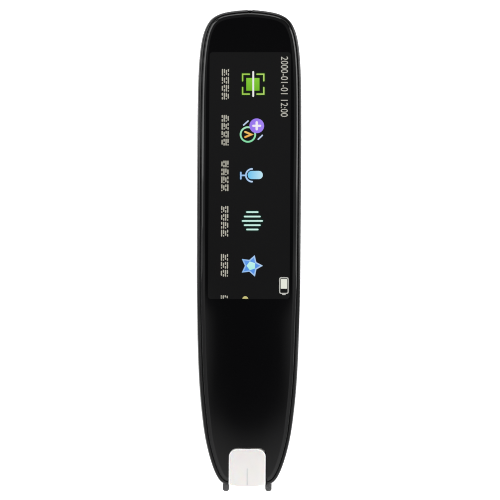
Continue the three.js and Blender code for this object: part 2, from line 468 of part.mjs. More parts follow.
piece(trigger, 'trigger_board', new THREE.BoxGeometry(11, 4.2, 0.4), boardGreen, [0, -57.1, 1.62]);
piece(trigger, 'trigger_switch', cut(boxAt(-2.2, 2.2, -59.0, -55.8, 1.87, 3.9), boxAt(-1.05, 1.05, -60, -56.9, 1.97, 3.03)), chipBlack);
piece(trigger, 'trigger_plunger', boxAt(-0.8, 0.8, -1.35, 1.35, -0.38, 0.38), finish(0xd9c9a4, 0.5), [0, -59.1, 2.5]);

// return springs, wound round the leg axes between the legs and their seats
class Helix extends THREE.Curve {
  constructor(radius, turns, length) { super(); this.r = radius; this.n = turns; this.l = length; }
  getPoint(t, target = new THREE.Vector3()) {
    const a = 2 * Math.PI * this.n * t;
    return target.set(this.r * Math.cos(a), this.l * t, this.r * Math.sin(a));
  }
}
const wire = new THREE.Shape(Array.from({ length: 5 }, (_, i) => new THREE.Vector2(0.18 * Math.cos(i * 2 * Math.PI / 5), 0.18 * Math.sin(i * 2 * Math.PI / 5))));
const springSolid = new THREE.ExtrudeGeometry(wire, { steps: 48, extrudePath: new Helix(1.05, 4.5, 4.3), bevelEnabled: false });
for (const s of [-1, 1]) piece(trigger, s < 0 ? 'return_spring_left' : 'return_spring_right', springSolid, steel, [s * 7.6, -60.1, 4.9]);

// ---------------------------------------------------------------- power button with its side switch
const buttonCap = extrudeX(roundedShape(-BUTTON_LEN / 2, BUTTON_LEN / 2, -BUTTON_TALL / 2, BUTTON_TALL / 2, 1.3, 4), -2.35, 0);
const buttonFlange = extrudeX(roundedShape(-BUTTON_LEN / 2 - 0.7, BUTTON_LEN / 2 + 0.7, -BUTTON_TALL / 2 - 0.3, BUTTON_TALL / 2 + 0.3, 1.0, 2), -2.95, -2.33);
piece(power, 'power_button', join(buttonCap, buttonFlange), shellBlack, [BUTTON_FACE, BUTTON_Y, BUTTON_Z]);
piece(power, 'power_switch_board', new THREE.BoxGeometry(0.4, 8, 4.0), boardGreen, [12.95, BUTTON_Y, 5.2]);
piece(power, 'power_switch', cut(boxAt(0, 1.4, -1.9, 1.9, -1.3, 1.3), boxAt(0.35, 2, -0.9, 0.9, -0.65, 0.65)), silverFoil, [13.2, BUTTON_Y, BUTTON_Z]);
piece(power, 'power_plunger', new THREE.BoxGeometry(1.42, 1.5, 1.0), finish(0xd9c9a4, 0.5), [14.76, BUTTON_Y, BUTTON_Z]);

export default pen;
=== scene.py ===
import json
import math

import bmesh
import bpy
import numpy as np
from mathutils import Matrix, Vector
from mathutils.geometry import delaunay_2d_cdt, tessellate_polygon


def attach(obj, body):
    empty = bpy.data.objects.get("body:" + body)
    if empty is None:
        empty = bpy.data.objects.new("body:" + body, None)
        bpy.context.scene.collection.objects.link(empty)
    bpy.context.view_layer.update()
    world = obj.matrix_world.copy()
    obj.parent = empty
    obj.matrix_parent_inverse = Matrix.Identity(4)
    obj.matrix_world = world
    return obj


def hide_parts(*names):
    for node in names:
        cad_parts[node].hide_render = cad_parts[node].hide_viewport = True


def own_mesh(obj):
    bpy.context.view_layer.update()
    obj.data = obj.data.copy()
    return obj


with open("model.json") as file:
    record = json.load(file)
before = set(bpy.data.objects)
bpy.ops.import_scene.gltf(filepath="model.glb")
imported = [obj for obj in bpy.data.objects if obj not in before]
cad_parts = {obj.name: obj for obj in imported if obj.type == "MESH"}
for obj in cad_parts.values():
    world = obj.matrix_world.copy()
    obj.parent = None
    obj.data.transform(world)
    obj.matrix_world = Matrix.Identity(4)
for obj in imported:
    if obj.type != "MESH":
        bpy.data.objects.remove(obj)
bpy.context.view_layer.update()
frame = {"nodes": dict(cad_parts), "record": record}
scene = bpy.context.scene
MM = 0.001

# ------------------------------------------------------------------ camera: straight above the pen, a little to its left
FRAME_WIDTH = 178.57  # mm across the picture at the pen
CAMERA_DISTANCE = 1000.0
SENSOR = 36.0
ROLL = math.radians(0.3)
LEAN = math.radians(2.4)
TARGET = Vector((0.535, 0.268, 7.0))

across = Vector((math.cos(ROLL), math.sin(ROLL), 0))
cam_up = Vector((-math.sin(ROLL), math.cos(ROLL), 0))
cam_forward = math.sin(LEAN) * across - math.cos(LEAN) * Vector((0, 0, 1))
cam_right = math.cos(LEAN) * across + math.sin(LEAN) * Vector((0, 0, 1))
eye = TARGET - cam_forward * CAMERA_DISTANCE
LENS = SENSOR * CAMERA_DISTANCE / FRAME_WIDTH

camera_data = bpy.data.cameras.new("photo_camera")
camera_data.lens = LENS
camera_data.sensor_width = SENSOR
camera_data.clip_start = 0.05
camera_data.clip_end = 20
camera = bpy.data.objects.new("photo_camera", camera_data)
scene.collection.objects.link(camera)
rotation = Matrix((cam_right, cam_up, -cam_forward)).transposed().to_4x4()
camera.matrix_world = Matrix.Translation(eye * MM) @ rotation
scene.camera = camera


def on_front(px, py, z):
    """Point (x, y) in mm where the view through picture point (px, py) of 500 x 500 meets the height z."""
    ray = cam_right * ((px - 250) / 500 * SENSOR) + cam_up * ((250 - py) / 500 * SENSOR) + cam_forward * LENS
    p = eye + ray * ((z - eye.z) / ray.z)
    return p.x, p.y


# ------------------------------------------------------------------ the pen's shape laws, in millimetres
HALF_WIDTH = 18.58
TOP_Y = 85.85
NIB_Y = -84.2
THICKNESS = 11.5
RIM_Z, RIM_INSET, END_SHIFT = 10.95, 0.98, 0.15
LEDGE_Z, LEDGE_INSET = 10.05, 2.0
COVER_INSET, COVER_Z = 1.42, 10.4
FACE_Z = 11.47  # glass surface; what lies on it stays inside the 11.5 mm
WINDOW_HALF, WINDOW_TOP_Y, WINDOW_R, WINDOW_GAP, WINDOW_Z = 6.57, -70.6, 2.86, 0.28, 9.9
LEG_IN, LEG_OUT, LEG_Z0, LEG_Z1, LEG_TIP_Y = 6.5, 8.71, 3.5, 7.0, -85.85
BAR_Y0, BAR_Y1 = -62.5, -60.5
CHAMBER_HALF = 6.2
BUTTON_Y, BUTTON_Z, BUTTON_LEN, BUTTON_TALL, BUTTON_FACE = 44, 5.4, 9.0, 2.7, 18.47
USB_Z, USB_MOUTH_Y = 4.43, 84.6

STATIONS = [
    (0, TOP_Y), (5.35, 85.45), (9.45, 84.7), (12.15, 83.6), (14.03, 82.15), (15.42, 80.1), (16.35, 77.9), (17.16, 74.7),
    (17.86, 69.3), (18.29, 61.8), (18.5, 50.5), (18.57, 34), (HALF_WIDTH, 16), (18.53, 0), (18.45, -14), (18.25, -25),
    (17.86, -38.5), (17.16, -50.5), (16.3, -59.2), (15.14, -67), (13.73, -73), (12.15, -77.8), (10.83, -80.6),
    (9.88, -81.95), (8.68, -82.95), (6.66, -83.7), (3.43, -84.1), (0, NIB_Y),
]


def smooth(a, b, v):
    t = min(1.0, max(0.0, (v - a) / (b - a)))
    return t * t * (3 - 2 * t)


def front_drop(y):
    return 0.0 if y > -35 else 2.2 * ((-35 - y) / 49) ** 2


def back_lift(y):
    return 0.0 if y > -55 else 1.3 * ((-55 - y) / 29) ** 2


def dome(y):
    return 0.6 * smooth(-20, -34, y) * (1 - 0.35 * smooth(-34, -64, y))


def face_dome(y):
    """The glass rounds over from a little above the end of the display."""
    return 0.6 * smooth(6, -27, y) * (1 - 0.35 * smooth(-34, -64, y))


def warp(x, y, z):
    zb, zf, k = back_lift(y), THICKNESS - front_drop(y), z / THICKNESS
    u = min(1.0, max(0.0, (z - 10.4) / 0.5))
    return zb + (zf - zb) * k - (dome(y) * (1 - u) + face_dome(y) * u) * (x / HALF_WIDTH) ** 2 * k


def closed_spline(points):
    """Smooth closed curve through the points: a function of (segment, share)."""
    p = np.array(points, float)
    n = len(p)
    h = np.linalg.norm(np.roll(p, -1, 0) - p, axis=1)
    a, r = np.zeros((n, n)), np.zeros((n, 2))
    for i in range(n):
        before, after, nxt = h[i - 1], h[i], (i + 1) % n
        a[i, i - 1] += before / 6
        a[i, i] += (before + after) / 3
        a[i, nxt] += after / 6
        r[i] = (p[nxt] - p[i]) / after - (p[i] - p[i - 1]) / before
    m = np.linalg.solve(a, r)

    def at(i, u):
        j, b = (i + 1) % n, 1 - u
        return b * p[i] + u * p[j] + h[i] ** 2 / 6 * ((b**3 - b) * m[i] + (u**3 - u) * m[j])

    return at


def half_outline(turn=2.2, length=2.6):
    """Samples (x, y, nx, ny) of the right half of the silhouette, display end to nib, denser where it turns."""
    loop = STATIONS + [(-x, y) for x, y in reversed(STATIONS[1:-1])]
    at = closed_spline(loop)
    fine = np.array([at(i, u) for i in range(len(STATIONS) - 1) for u in np.arange(0, 1, 1 / 48)] + [STATIONS[-1]])
    fine[:, 0] = np.clip(fine[:, 0], 0, HALF_WIDTH)
    t = np.gradient(fine, axis=0)
    t[0], t[-1] = (1, 0), (-1, 0)
    t /= np.linalg.norm(t, axis=1)[:, None]
    kept, last, run = [0], 0, 0.0
    for i in range(1, len(fine) - 1):
        run += np.linalg.norm(fine[i] - fine[i - 1])
        if math.degrees(math.acos(max(-1, min(1, t[i] @ t[last])))) > turn or run > length:
            kept.append(i)
            last, run = i, 0.0
    if np.linalg.norm(fine[-1] - fine[kept[-1]]) < 0.25:
        kept.pop()
    kept.append(len(fine) - 1)
    return [(fine[i][0], fine[i][1], -t[i][1], t[i][0]) for i in kept]


OUTLINE = half_outline()


def from_edge(d):
    return lambda y: d - END_SHIFT * smooth(74, 84.5, y) + seam_shift(y)


def seam_shift(y):
    """The seam runs a little further in where the sides begin to taper."""
    return 0.2 * smooth(-12, -26, y) * (1 - smooth(-58, -68, y))


def lean_shift(x, y, z, left=0.11):
    """The rim of the upper half sits a hair to the right of the body, and so does the cover's right side."""
    return x + (left + (0.115 - left) * smooth(-10, 10, x)) * smooth(16, 42, y) * smooth(9.2, 10.7, z)


def inset(d, half=None):
    out = []
    for x, y, nx, ny in half or OUTLINE:
        want = d(y) if callable(d) else d
        near = min(want, 1.5)
        far = want - near
        px = (x - nx * near) * (1 - far / HALF_WIDTH)
        out.append((0.0 if x == 0 else max(0.02, px), (y - ny * near) * (1 - far / TOP_Y)))
    return out


# ------------------------------------------------------------------ meshes
def make(name, verts, faces, material=None, angle=32.0, weld=True):
    """A mesh object from points in millimetres, smooth except where it turns by more than the angle."""
    me = bpy.data.meshes.new(name)
    me.from_pydata([(x * MM, y * MM, z * MM) for x, y, z in verts], [], faces)
    bm = bmesh.new()
    bm.from_mesh(me)
    if weld:
        bmesh.ops.remove_doubles(bm, verts=bm.verts, dist=2e-6)
    bmesh.ops.recalc_face_normals(bm, faces=bm.faces)
    bm.to_mesh(me)
    bm.free()
    ob = bpy.data.objects.new(name, me)
    scene.collection.objects.link(ob)
    shade(ob, angle)
    if material:
        me.materials.append(material)
    return ob


def shade(ob, angle):
    ob.data.shade_smooth()
    ob.data.set_sharp_from_angle(angle=math.radians(angle))


def applied(ob, angle=32.0):
    """Applies the modifiers of an object to its mesh."""
    bpy.context.view_layer.update()
    got = bpy.data.meshes.new_from_object(ob.evaluated_get(bpy.context.evaluated_depsgraph_get()))
    ob.modifiers.clear()
    old, ob.data = ob.data, got
    got.name = ob.name
    bpy.data.meshes.remove(old)
    shade(ob, angle)
    return ob


def combine(ob, operation, *tools, angle=32.0):
    for t in tools:
        m = ob.modifiers.new("cut", "BOOLEAN")
        m.operation, m.solver, m.object = operation, "EXACT", t
        applied(ob, angle)
        data = t.data
        bpy.data.objects.remove(t)
        bpy.data.meshes.remove(data)
    return ob


def bevelled(ob, width, segments=3, limit=30.0, angle=32.0):
    m = ob.modifiers.new("round", "BEVEL")
    m.width, m.segments, m.limit_method, m.angle_limit = width * MM, segments, "ANGLE", math.radians(limit)
    m.harden_normals = False
    return applied(ob, angle)


def stack(rings, caps=True):
    """Closed body through rings of the same number of 3-D points."""
    n = len(rings[0])
    verts = [p for ring in rings for p in ring]
    faces = []
    for k in range(len(rings) - 1):
        for i in range(n):
            j = (i + 1) % n
            faces.append((k * n + i, k * n + j, (k + 1) * n + j, (k + 1) * n + i))
    if caps:
        faces.append(tuple(reversed(range(n))))
        faces.append(tuple((len(rings) - 1) * n + i for i in range(n)))
    return verts, faces


def ring_loft(levels, columns=1):
    """Closed body through symmetric rings; each level is (half, z), half from +Y to -Y at x >= 0."""
    n = len(levels[0][0])
    count = 2 * (n - 1)
    verts, faces, rings = [], [], []

    def put(x, y, z):
        verts.append((lean_shift(x, y, z), y, warp(x, y, z)))
        return len(verts) - 1

    for half, z in levels:
        ring = [put(x, y, z) for x, y in half]
        ring += [put(-half[i][0], half[i][1], z) for i in range(n - 2, 0, -1)]
        rings.append(ring)
    for a, b in zip(rings, rings[1:]):
        for i in range(count):
            j = (i + 1) % count
            faces.append((a[i], a[j], b[j], b[i]))
    for ring, (half, z) in ((rings[0], levels[0]), (rings[-1], levels[-1])):
        rows = []
        for i in range(n):
            if i in (0, n - 1):
                rows.append([ring[i]] * (columns + 1))
                continue
            x, y = half[i]
            rows.append([ring[i]] + [put(x * (1 - 2 * j / columns), y, z) for j in range(1, columns)] + [ring[count - i]])
        for i in range(n - 1):
            for j in range(columns):
                quad = [rows[i][j], rows[i + 1][j], rows[i + 1][j + 1], rows[i][j + 1]]
                quad = [q for k, q in enumerate(quad) if q not in quad[:k]]
                if len(quad) > 2:
                    faces.append(tuple(quad))
    return verts, faces


def rounded(x0, x1, y0, y1, r, steps=6):
    """Rounded rectangle as a loop of (x, y), anticlockwise."""
    out = []
    for cx, cy, a0 in ((x1 - r, y1 - r, 0), (x0 + r, y1 - r, 90), (x0 + r, y0 + r, 180), (x1 - r, y0 + r, 270)):
        for i in range(steps + 1):
            a = math.radians(a0 + 90 * i / steps)
            out.append((cx + r * math.cos(a), cy + r * math.sin(a)))
    return out


def box(x0, x1, y0, y1, z0, z1):
    return stack([[(x0, y0, z), (x1, y0, z), (x1, y1, z), (x0, y1, z)] for z in (z0, z1)])


def merged(parts):
    verts, faces = [], []
    for v, f in parts:
        n = len(verts)
        verts += v
        faces += [tuple(i + n for i in face) for face in f]
    return verts, faces


def tube(points, radius, sides=12):
    """Closed tube along a line of 3-D points."""
    p = [Vector(q) for q in points]
    rings, ref = [], None
    for i, q in enumerate(p):
        t = (p[min(i + 1, len(p) - 1)] - p[max(i - 1, 0)]).normalized()
        if ref is None:
            ref = t.orthogonal().normalized()
        ref = (ref - t * ref.dot(t)).normalized()
        side = t.cross(ref)
        rings.append([tuple(q + radius * (math.cos(a) * ref + math.sin(a) * side)) for a in (2 * math.pi * k / sides for k in range(sides))])
    return stack(rings)


# ------------------------------------------------------------------ materials
def graph(name):
    """A material with a Principled shader, and its object coordinates in millimetres."""
    m = bpy.data.materials.new(name)
    m.use_nodes = True
    t = m.node_tree
    t.nodes.clear()
    out, shader = t.nodes.new("ShaderNodeOutputMaterial"), t.nodes.new("ShaderNodeBsdfPrincipled")
    t.links.new(shader.outputs[0], out.inputs[0])
    coord, scale = t.nodes.new("ShaderNodeTexCoord"), t.nodes.new("ShaderNodeMapping")
    scale.inputs["Scale"].default_value = (1000, 1000, 1000)
    t.links.new(coord.outputs["Object"], scale.inputs["Vector"])
    return m, t, shader, scale.outputs[0]


def stretch(t, vector, factors):
    n = t.nodes.new("ShaderNodeMapping")
    n.inputs["Scale"].default_value = factors
    t.links.new(vector, n.inputs["Vector"])
    return n.outputs[0]


def noise(t, vector, scale, detail=3.0, rough=0.55, distortion=0.0):
    n = t.nodes.new("ShaderNodeTexNoise")
    n.inputs["Scale"].default_value = scale
    n.inputs["Detail"].default_value = detail
    n.inputs["Roughness"].default_value = rough
    n.inputs["Distortion"].default_value = distortion
    t.links.new(vector, n.inputs["Vector"])
    return n.outputs[0]


def cells(t, vector, scale, feature="F1"):
    n = t.nodes.new("ShaderNodeTexVoronoi")
    n.feature = feature
    n.inputs["Scale"].default_value = scale
    t.links.new(vector, n.inputs["Vector"])
    return n.outputs["Distance"]


def waves(t, vector, scale, axis="X", distortion=0.0, profile="SIN"):
    n = t.nodes.new("ShaderNodeTexWave")
    n.bands_direction = axis
    n.wave_profile = profile
    n.inputs["Scale"].default_value = scale
    n.inputs["Distortion"].default_value = distortion
    t.links.new(vector, n.inputs["Vector"])
    return n.outputs["Fac"]


def spread(t, value, low, high, from_low=0.3, from_high=0.7):
    n = t.nodes.new("ShaderNodeMapRange")
    for socket, v in (("From Min", from_low), ("From Max", from_high), ("To Min", low), ("To Max", high)):
        n.inputs[socket].default_value = v
    t.links.new(value, n.inputs["Value"])
    return n.outputs[0]


def colour_sockets(node):
    return [s for s in node.inputs if s.type == "RGBA"]


def mix_rgb(t, factor, a, b):
    """Mix of two colours; each of a and b is a colour or an output."""
    n = t.nodes.new("ShaderNodeMix")
    n.data_type = "RGBA"
    first, second = colour_sockets(n)[:2]
    t.links.new(factor, n.inputs[0])
    for socket, v in ((first, a), (second, b)):
        if isinstance(v, bpy.types.NodeSocket):
            t.links.new(v, socket)
        else:
            socket.default_value = (*v, 1)
    return [s for s in n.outputs if s.type == "RGBA"][0]


def bump(t, shader, height, distance, strength=1.0, before=None):
    n = t.nodes.new("ShaderNodeBump")
    n.inputs["Strength"].default_value = strength
    n.inputs["Distance"].default_value = distance * MM
    t.links.new(height, n.inputs["Height"])
    if before:
        t.links.new(before, n.inputs["Normal"])
    if shader:
        t.links.new(n.outputs[0], shader.inputs["Normal"])
    return n.outputs[0]


def tinted(colour, k):
    return tuple(min(1.0, c * k) for c in colour)


def moulded(name, colour, rough, grain=9.0, depth=0.004, vary=0.12, rough_vary=0.05, metallic=0.0, **sockets):
    """Moulded plastic, rubber or resin: fine surface grain, slow colour drift and uneven gloss."""
    m, t, s, v = graph(name)
    slow, fine = noise(t, v, 0.12, 3), noise(t, v, grain, 2)
    t.links.new(mix_rgb(t, spread(t, slow, 0, 1), tinted(colour, 1 - vary), tinted(colour, 1 + vary)), s.inputs["Base Color"])
    t.links.new(spread(t, noise(t, v, 0.5, 4), rough - rough_vary, rough + rough_vary), s.inputs["Roughness"])
    s.inputs["Metallic"].default_value = metallic
    for key, value in sockets.items():
        s.inputs[key.replace("_", " ")].default_value = value
    bump(t, s, fine, depth)
    return m


def rolled(name, colour, rough, along=(1, 1, 1), depth=0.003):
    """Metal with drawn or brushed lines."""
    m, t, s, v = graph(name)
    lines = noise(t, stretch(t, v, along), 6, 3)
    t.links.new(mix_rgb(t, spread(t, noise(t, v, 0.6, 3), 0, 1), tinted(colour, 0.88), tinted(colour, 1.06)), s.inputs["Base Color"])
    t.links.new(spread(t, lines, rough * 0.75, rough * 1.35), s.inputs["Roughness"])
    s.inputs["Metallic"].default_value = 1.0
    bump(t, s, lines, depth)
    return m


def circuit(name):
    """Green solder mask over copper tracks, with ground hatching and plated holes."""
    m, t, s, v = graph(name)
    tracks = waves(t, stretch(t, v, (1, 0.35, 0.35)), 1.1, "X", 3.0)
    cross = waves(t, stretch(t, v, (0.35, 1, 0.35)), 0.9, "Y", 3.0)
    line = spread(t, tracks, 0, 1, 0.72, 0.8)
    line2 = spread(t, cross, 0, 1, 0.8, 0.86)
    base = mix_rgb(t, line, (0.012, 0.075, 0.038), (0.022, 0.13, 0.06))
    base = mix_rgb(t, line2, base, (0.024, 0.14, 0.066))
    holes = spread(t, cells(t, v, 0.55), 1, 0, 0.06, 0.09)
    base = mix_rgb(t, holes, base, (0.6, 0.45, 0.16))
    t.links.new(base, s.inputs["Base Color"])
    t.links.new(spread(t, noise(t, v, 2, 3), 0.32, 0.5), s.inputs["Roughness"])
    bump(t, s, line, 0.01)
    return m


def flex(name):
    """Amber film with copper tracks along it."""
    m, t, s, v = graph(name)
    tracks = spread(t, waves(t, v, 1.2, "X"), 0, 1, 0.5, 0.62)
    t.links.new(mix_rgb(t, tracks, (0.36, 0.13, 0.02), (0.56, 0.25, 0.07)), s.inputs["Base Color"])
    t.links.new(spread(t, noise(t, v, 3, 3), 0.28, 0.45), s.inputs["Roughness"])
    bump(t, s, tracks, 0.012)
    return m


def foil(name, colour):
    """Laminated foil pouch, faintly dimpled."""
    m, t, s, v = graph(name)
    t.links.new(mix_rgb(t, spread(t, noise(t, v, 0.25, 3), 0, 1), tinted(colour, 0.9), tinted(colour, 1.05)), s.inputs["Base Color"])
    t.links.new(spread(t, noise(t, v, 1.5, 3), 0.3, 0.46), s.inputs["Roughness"])
    s.inputs["Metallic"].default_value = 0.9
    rough = bump(t, None, noise(t, v, 0.35, 2), 0.25)
    bump(t, s, noise(t, v, 7, 2), 0.008, before=rough)
    return m


def foam(name, colour):
    """Closed-cell foam: small open pores, painted darker in their hollows as shade and lighter on the cell walls."""
    m, t, s, v = graph(name)
    pores = cells(t, v, 3.2)
    t.links.new(mix_rgb(t, spread(t, pores, 0, 1, 0.1, 0.6), tinted(colour, 0.6), tinted(colour, 1.25)), s.inputs["Base Color"])
    t.links.new(spread(t, noise(t, v, 3, 3), 0.82, 0.95), s.inputs["Roughness"])
    bump(t, s, pores, 0.06)
    return m


def weave(name, colour, pitch=0.22):
    """Fine woven mesh of monofilament; the gaps between the threads are painted near black as shade."""
    m, t, s, v = graph(name)
    k = 0.5 / pitch / 3.1416
    a, b = waves(t, v, k, "X"), waves(t, v, k, "Y")
    top = t.nodes.new("ShaderNodeMath")
    top.operation = "MAXIMUM"
    t.links.new(a, top.inputs[0])
    t.links.new(b, top.inputs[1])
    t.links.new(mix_rgb(t, spread(t, top.outputs[0], 0, 1, 0.6, 0.95), (0.003, 0.003, 0.003), tinted(colour, 1.6)), s.inputs["Base Color"])
    s.inputs["Roughness"].default_value = 0.55
    bump(t, s, top.outputs[0], 0.05)
    return m


def polished(name, colour, low, high, smudge=0.05, **sockets):
    """Polished hard surface: near black or glassy, with faint wipe marks that only its gloss shows."""
    m, t, s, v = graph(name)
    wipe = noise(t, stretch(t, v, (1.0, 0.35, 1.0)), smudge, 4, 0.6, 0.6)
    t.links.new(mix_rgb(t, spread(t, noise(t, v, 0.04, 2), 0, 1), tinted(colour, 0.85), tinted(colour, 1.15)), s.inputs["Base Color"])
    t.links.new(spread(t, wipe, low, high), s.inputs["Roughness"])
    for key, value in sockets.items():
        s.inputs[key.replace("_", " ")].default_value = value
    return m


def milky(name, first, second, low, high):
    """Clear plate over a white reading field: milky body, paler towards its lower end, polished face."""
    m, t, s, v = graph(name)
    split = t.nodes.new("ShaderNodeSeparateXYZ")
    t.links.new(v, split.inputs[0])
    body = mix_rgb(t, spread(t, split.outputs[1], 0, 1, low, high), first, second)
    cloud = mix_rgb(t, spread(t, noise(t, v, 0.35, 3), 0, 0.05), body, (0.55, 0.54, 0.53))
    t.links.new(cloud, s.inputs["Base Color"])
    t.links.new(spread(t, noise(t, stretch(t, v, (1.0, 0.4, 1.0)), 0.3, 4), 0.05, 0.12), s.inputs["Roughness"])
    s.inputs["Subsurface Weight"].default_value = 0.25
    s.inputs["Subsurface Scale"].default_value = 0.0006
    s.inputs["Coat Weight"].default_value = 0.5
    bump(t, s, noise(t, v, 6, 2), 0.001)
    return m


MAT = {
    "shell": moulded("shell_satin", (0.0046, 0.0047, 0.005), 0.24, grain=11, depth=0.0035, vary=0.1, rough_vary=0.035, Specular_IOR_Level=0.43),
    "cover_glass": polished("cover_gloss", (0.0008, 0.0008, 0.0011), 0.03, 0.07),
    "frame_plastic": moulded("frame_plastic", (0.03, 0.031, 0.034), 0.58, grain=6, depth=0.008),
    "foam": foam("foam", (0.04, 0.04, 0.042)),
    "steel": rolled("rolled_steel", (0.60, 0.61, 0.63), 0.26, (1, 0.1, 1)),
    "silver_foil": foil("silver_foil", (0.70, 0.71, 0.73)),
    "display_glass": polished("display_glass", (0.02, 0.022, 0.026), 0.04, 0.1, Coat_Weight=0.6),
    "clear_adhesive": polished("clear_adhesive", (0.82, 0.82, 0.8), 0.05, 0.12, Alpha=0.35),
    "flex_circuit": flex("flex_circuit"),
    "circuit_board": circuit("circuit_board"),
    "connector_plastic": moulded("connector_ivory", (0.66, 0.60, 0.47), 0.48, grain=8),
    "connector_black": moulded("connector_black", (0.014, 0.014, 0.015), 0.42, grain=10),
    "chip_epoxy": moulded("chip_epoxy", (0.02, 0.02, 0.022), 0.56, grain=14, depth=0.01, vary=0.2),
    "rubber": moulded("silicone_rubber", (0.02, 0.02, 0.021), 0.7, grain=5, depth=0.01),
    "dust_mesh": weave("dust_mesh", (0.02, 0.02, 0.021)),
    "nib_window": milky("milky_window", (0.83, 0.80, 0.785), (0.88, 0.853, 0.832), -71, -83),
    "white_plastic": moulded("diffuse_white", (0.84, 0.84, 0.82), 0.5, grain=5, depth=0.006, vary=0.03),
    "lamp": moulded("lamp_phosphor", (0.85, 0.74, 0.32), 0.35, grain=12, depth=0.008, vary=0.08),
    "trigger_plastic": moulded("trigger_satin", (0.075, 0.0755, 0.077), 0.3, grain=12, depth=0.003),
}

for part in frame["record"]["subparts"]:
    node = frame["nodes"][part["node"]]
    node.data.materials.clear()
    node.data.materials.append(MAT[part["material_slot"]])


def piece(ob, body, *nodes, slot=None):
    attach(ob, body)
    if nodes:
        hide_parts(*nodes)
    return ob


# ------------------------------------------------------------------ rear shell
SKIN = [(0, 5.0), (0.35, 3.35), (1.0, 2.2), (1.9, 1.36), (3.0, 0.68), (4.4, 0.2), (6.0, 0), (8.2, 0), (9.3, 0.01), (9.85, 0.06), (10.3, 0.17), (10.53, 0.31), (10.62, 0.4), (10.705, 0.5), (10.79, 0.64), (10.855, 0.8), (RIM_Z - 0.034, 0.95)]


def finer(profile, steps=3):
    """Rounds a profile of (z, inset) points by a Catmull-Rom curve through them."""
    p = np.array([profile[0]] + list(profile) + [profile[-1]], float)
    out = []
    for i in range(1, len(p) - 2):
        for k in range(steps):
            u = k / steps
            q = 0.5 * (2 * p[i] + (p[i + 1] - p[i - 1]) * u + (2 * p[i - 1] - 5 * p[i] + 4 * p[i + 1] - p[i + 2]) * u**2 + (3 * p[i] - p[i - 1] - 3 * p[i + 1] + p[i + 2]) * u**3)
            out.append((float(q[0]), max(0.0, float(q[1]))))
    out.append((float(p[-1][0]), float(p[-1][1])))
    return out


shell_levels = finer(SKIN) + [(RIM_Z - 0.035, RIM_INSET - 0.012), (RIM_Z - 0.07, RIM_INSET), (LEDGE_Z, RIM_INSET), (LEDGE_Z, LEDGE_INSET), (4.6, 1.9), (2.6, 2.5), (1.3, 4.2)]


def shell_ring(d):
    """The rim's part of the section narrows with the rim at the display end."""
    return inset(d if d > 1.5 else (lambda y: d + (seam_shift(y) - END_SHIFT * smooth(74, 84.5, y)) * min(1.0, d / RIM_INSET)))


shell = make("rear_shell_body", *ring_loft([(shell_ring(d) if z > 9 else inset(d), z) for z, d in shell_levels], 6), MAT["shell"])


def pill_y(w, h, r, y):
    return [(x, y, USB_Z + z) for x, z in rounded(-w / 2, w / 2, -h / 2, h / 2, r)]


def pill_x(l, h, r, x, y, z):
    return [(x, y + a, z + b) for a, b in rounded(-l / 2, l / 2, -h / 2, h / 2, r)]


cutters = [
    make("c", *box(-CHAMBER_HALF - 0.25, CHAMBER_HALF + 0.25, -90, -77, 2.75, 9.4)),
    make("c", *box(-WINDOW_HALF - WINDOW_GAP, WINDOW_HALF + WINDOW_GAP, -90, -77.1, 7.3, 12.2)),
    make("c", *box(-LEG_OUT - 0.24, LEG_OUT + 0.24, -90, -78.1, LEG_Z0 - 0.25, LEG_Z1 + 0.25)),
    make("c", *stack([pill_y(9.64, 3.9, 1.9, 82), pill_y(9.64, 3.9, 1.9, 85.0), pill_y(9.84, 4.1, 2.0, 85.3), pill_y(10.5, 4.76, 2.33, 85.75), pill_y(10.5, 4.76, 2.33, 87)])),
    make("c", *stack([[(-6.9 + r * math.cos(a), y, 3.9 + r * math.sin(a)) for a in (k * math.pi / 12 for k in range(24))] for y, r in ((81.5, 0.45), (84.7, 0.45), (85.0, 0.5), (85.5, 0.85), (87, 0.85))])),
    make("c", *box(-0.92, 0.92, 84.35, 87, 7.5, 12.2)),
    make("c", *stack([pill_x(9.4, 3.1, 1.5, x, BUTTON_Y, BUTTON_Z) for x in (15, 18.15)] + [pill_x(9.9, 3.6, 1.75, x, BUTTON_Y, BUTTON_Z) for x in (18.45, 20)])),
]
for i in range(6):
    x = -6 + i * 2.4
    rings = []
    for z, g in ((-1, 0.22), (-0.02, 0.22), (0.12, 0.06), (0.24, 0), (3, 0)):
        rings.append([(a, b, z) for a, b in rounded(x - 0.5 - g, x + 0.5 + g, -50 - g, -42.6 + g, 0.48 + g, 5)])
    cutters.append(make("c", *stack(rings)))
combine(shell, "DIFFERENCE", *cutters)
combine(shell, "UNION", make("c", *box(-0.3, 0.3, 84.9, 85.5, 7.2, 10.7)))


def clearance(poly, x, y):
    a, ab = poly, np.roll(poly, -1, 0) - poly
    u = np.clip(((np.array((x, y)) - a) * ab).sum(1) / np.maximum((ab * ab).sum(1), 1e-12), 0, 1)
    return float(np.linalg.norm(a + ab * u[:, None] - (x, y), axis=1).min())


def inside(poly, x, y):
    a, b = poly, np.roll(poly, -1, 0)
    hit = (a[:, 1] > y) != (b[:, 1] > y)
    dy = np.where(hit, b[:, 1] - a[:, 1], 1.0)
    cross = a[:, 0] + (y - a[:, 1]) * (b[:, 0] - a[:, 0]) / dy
    return bool(np.count_nonzero(hit & (cross > x)) % 2)
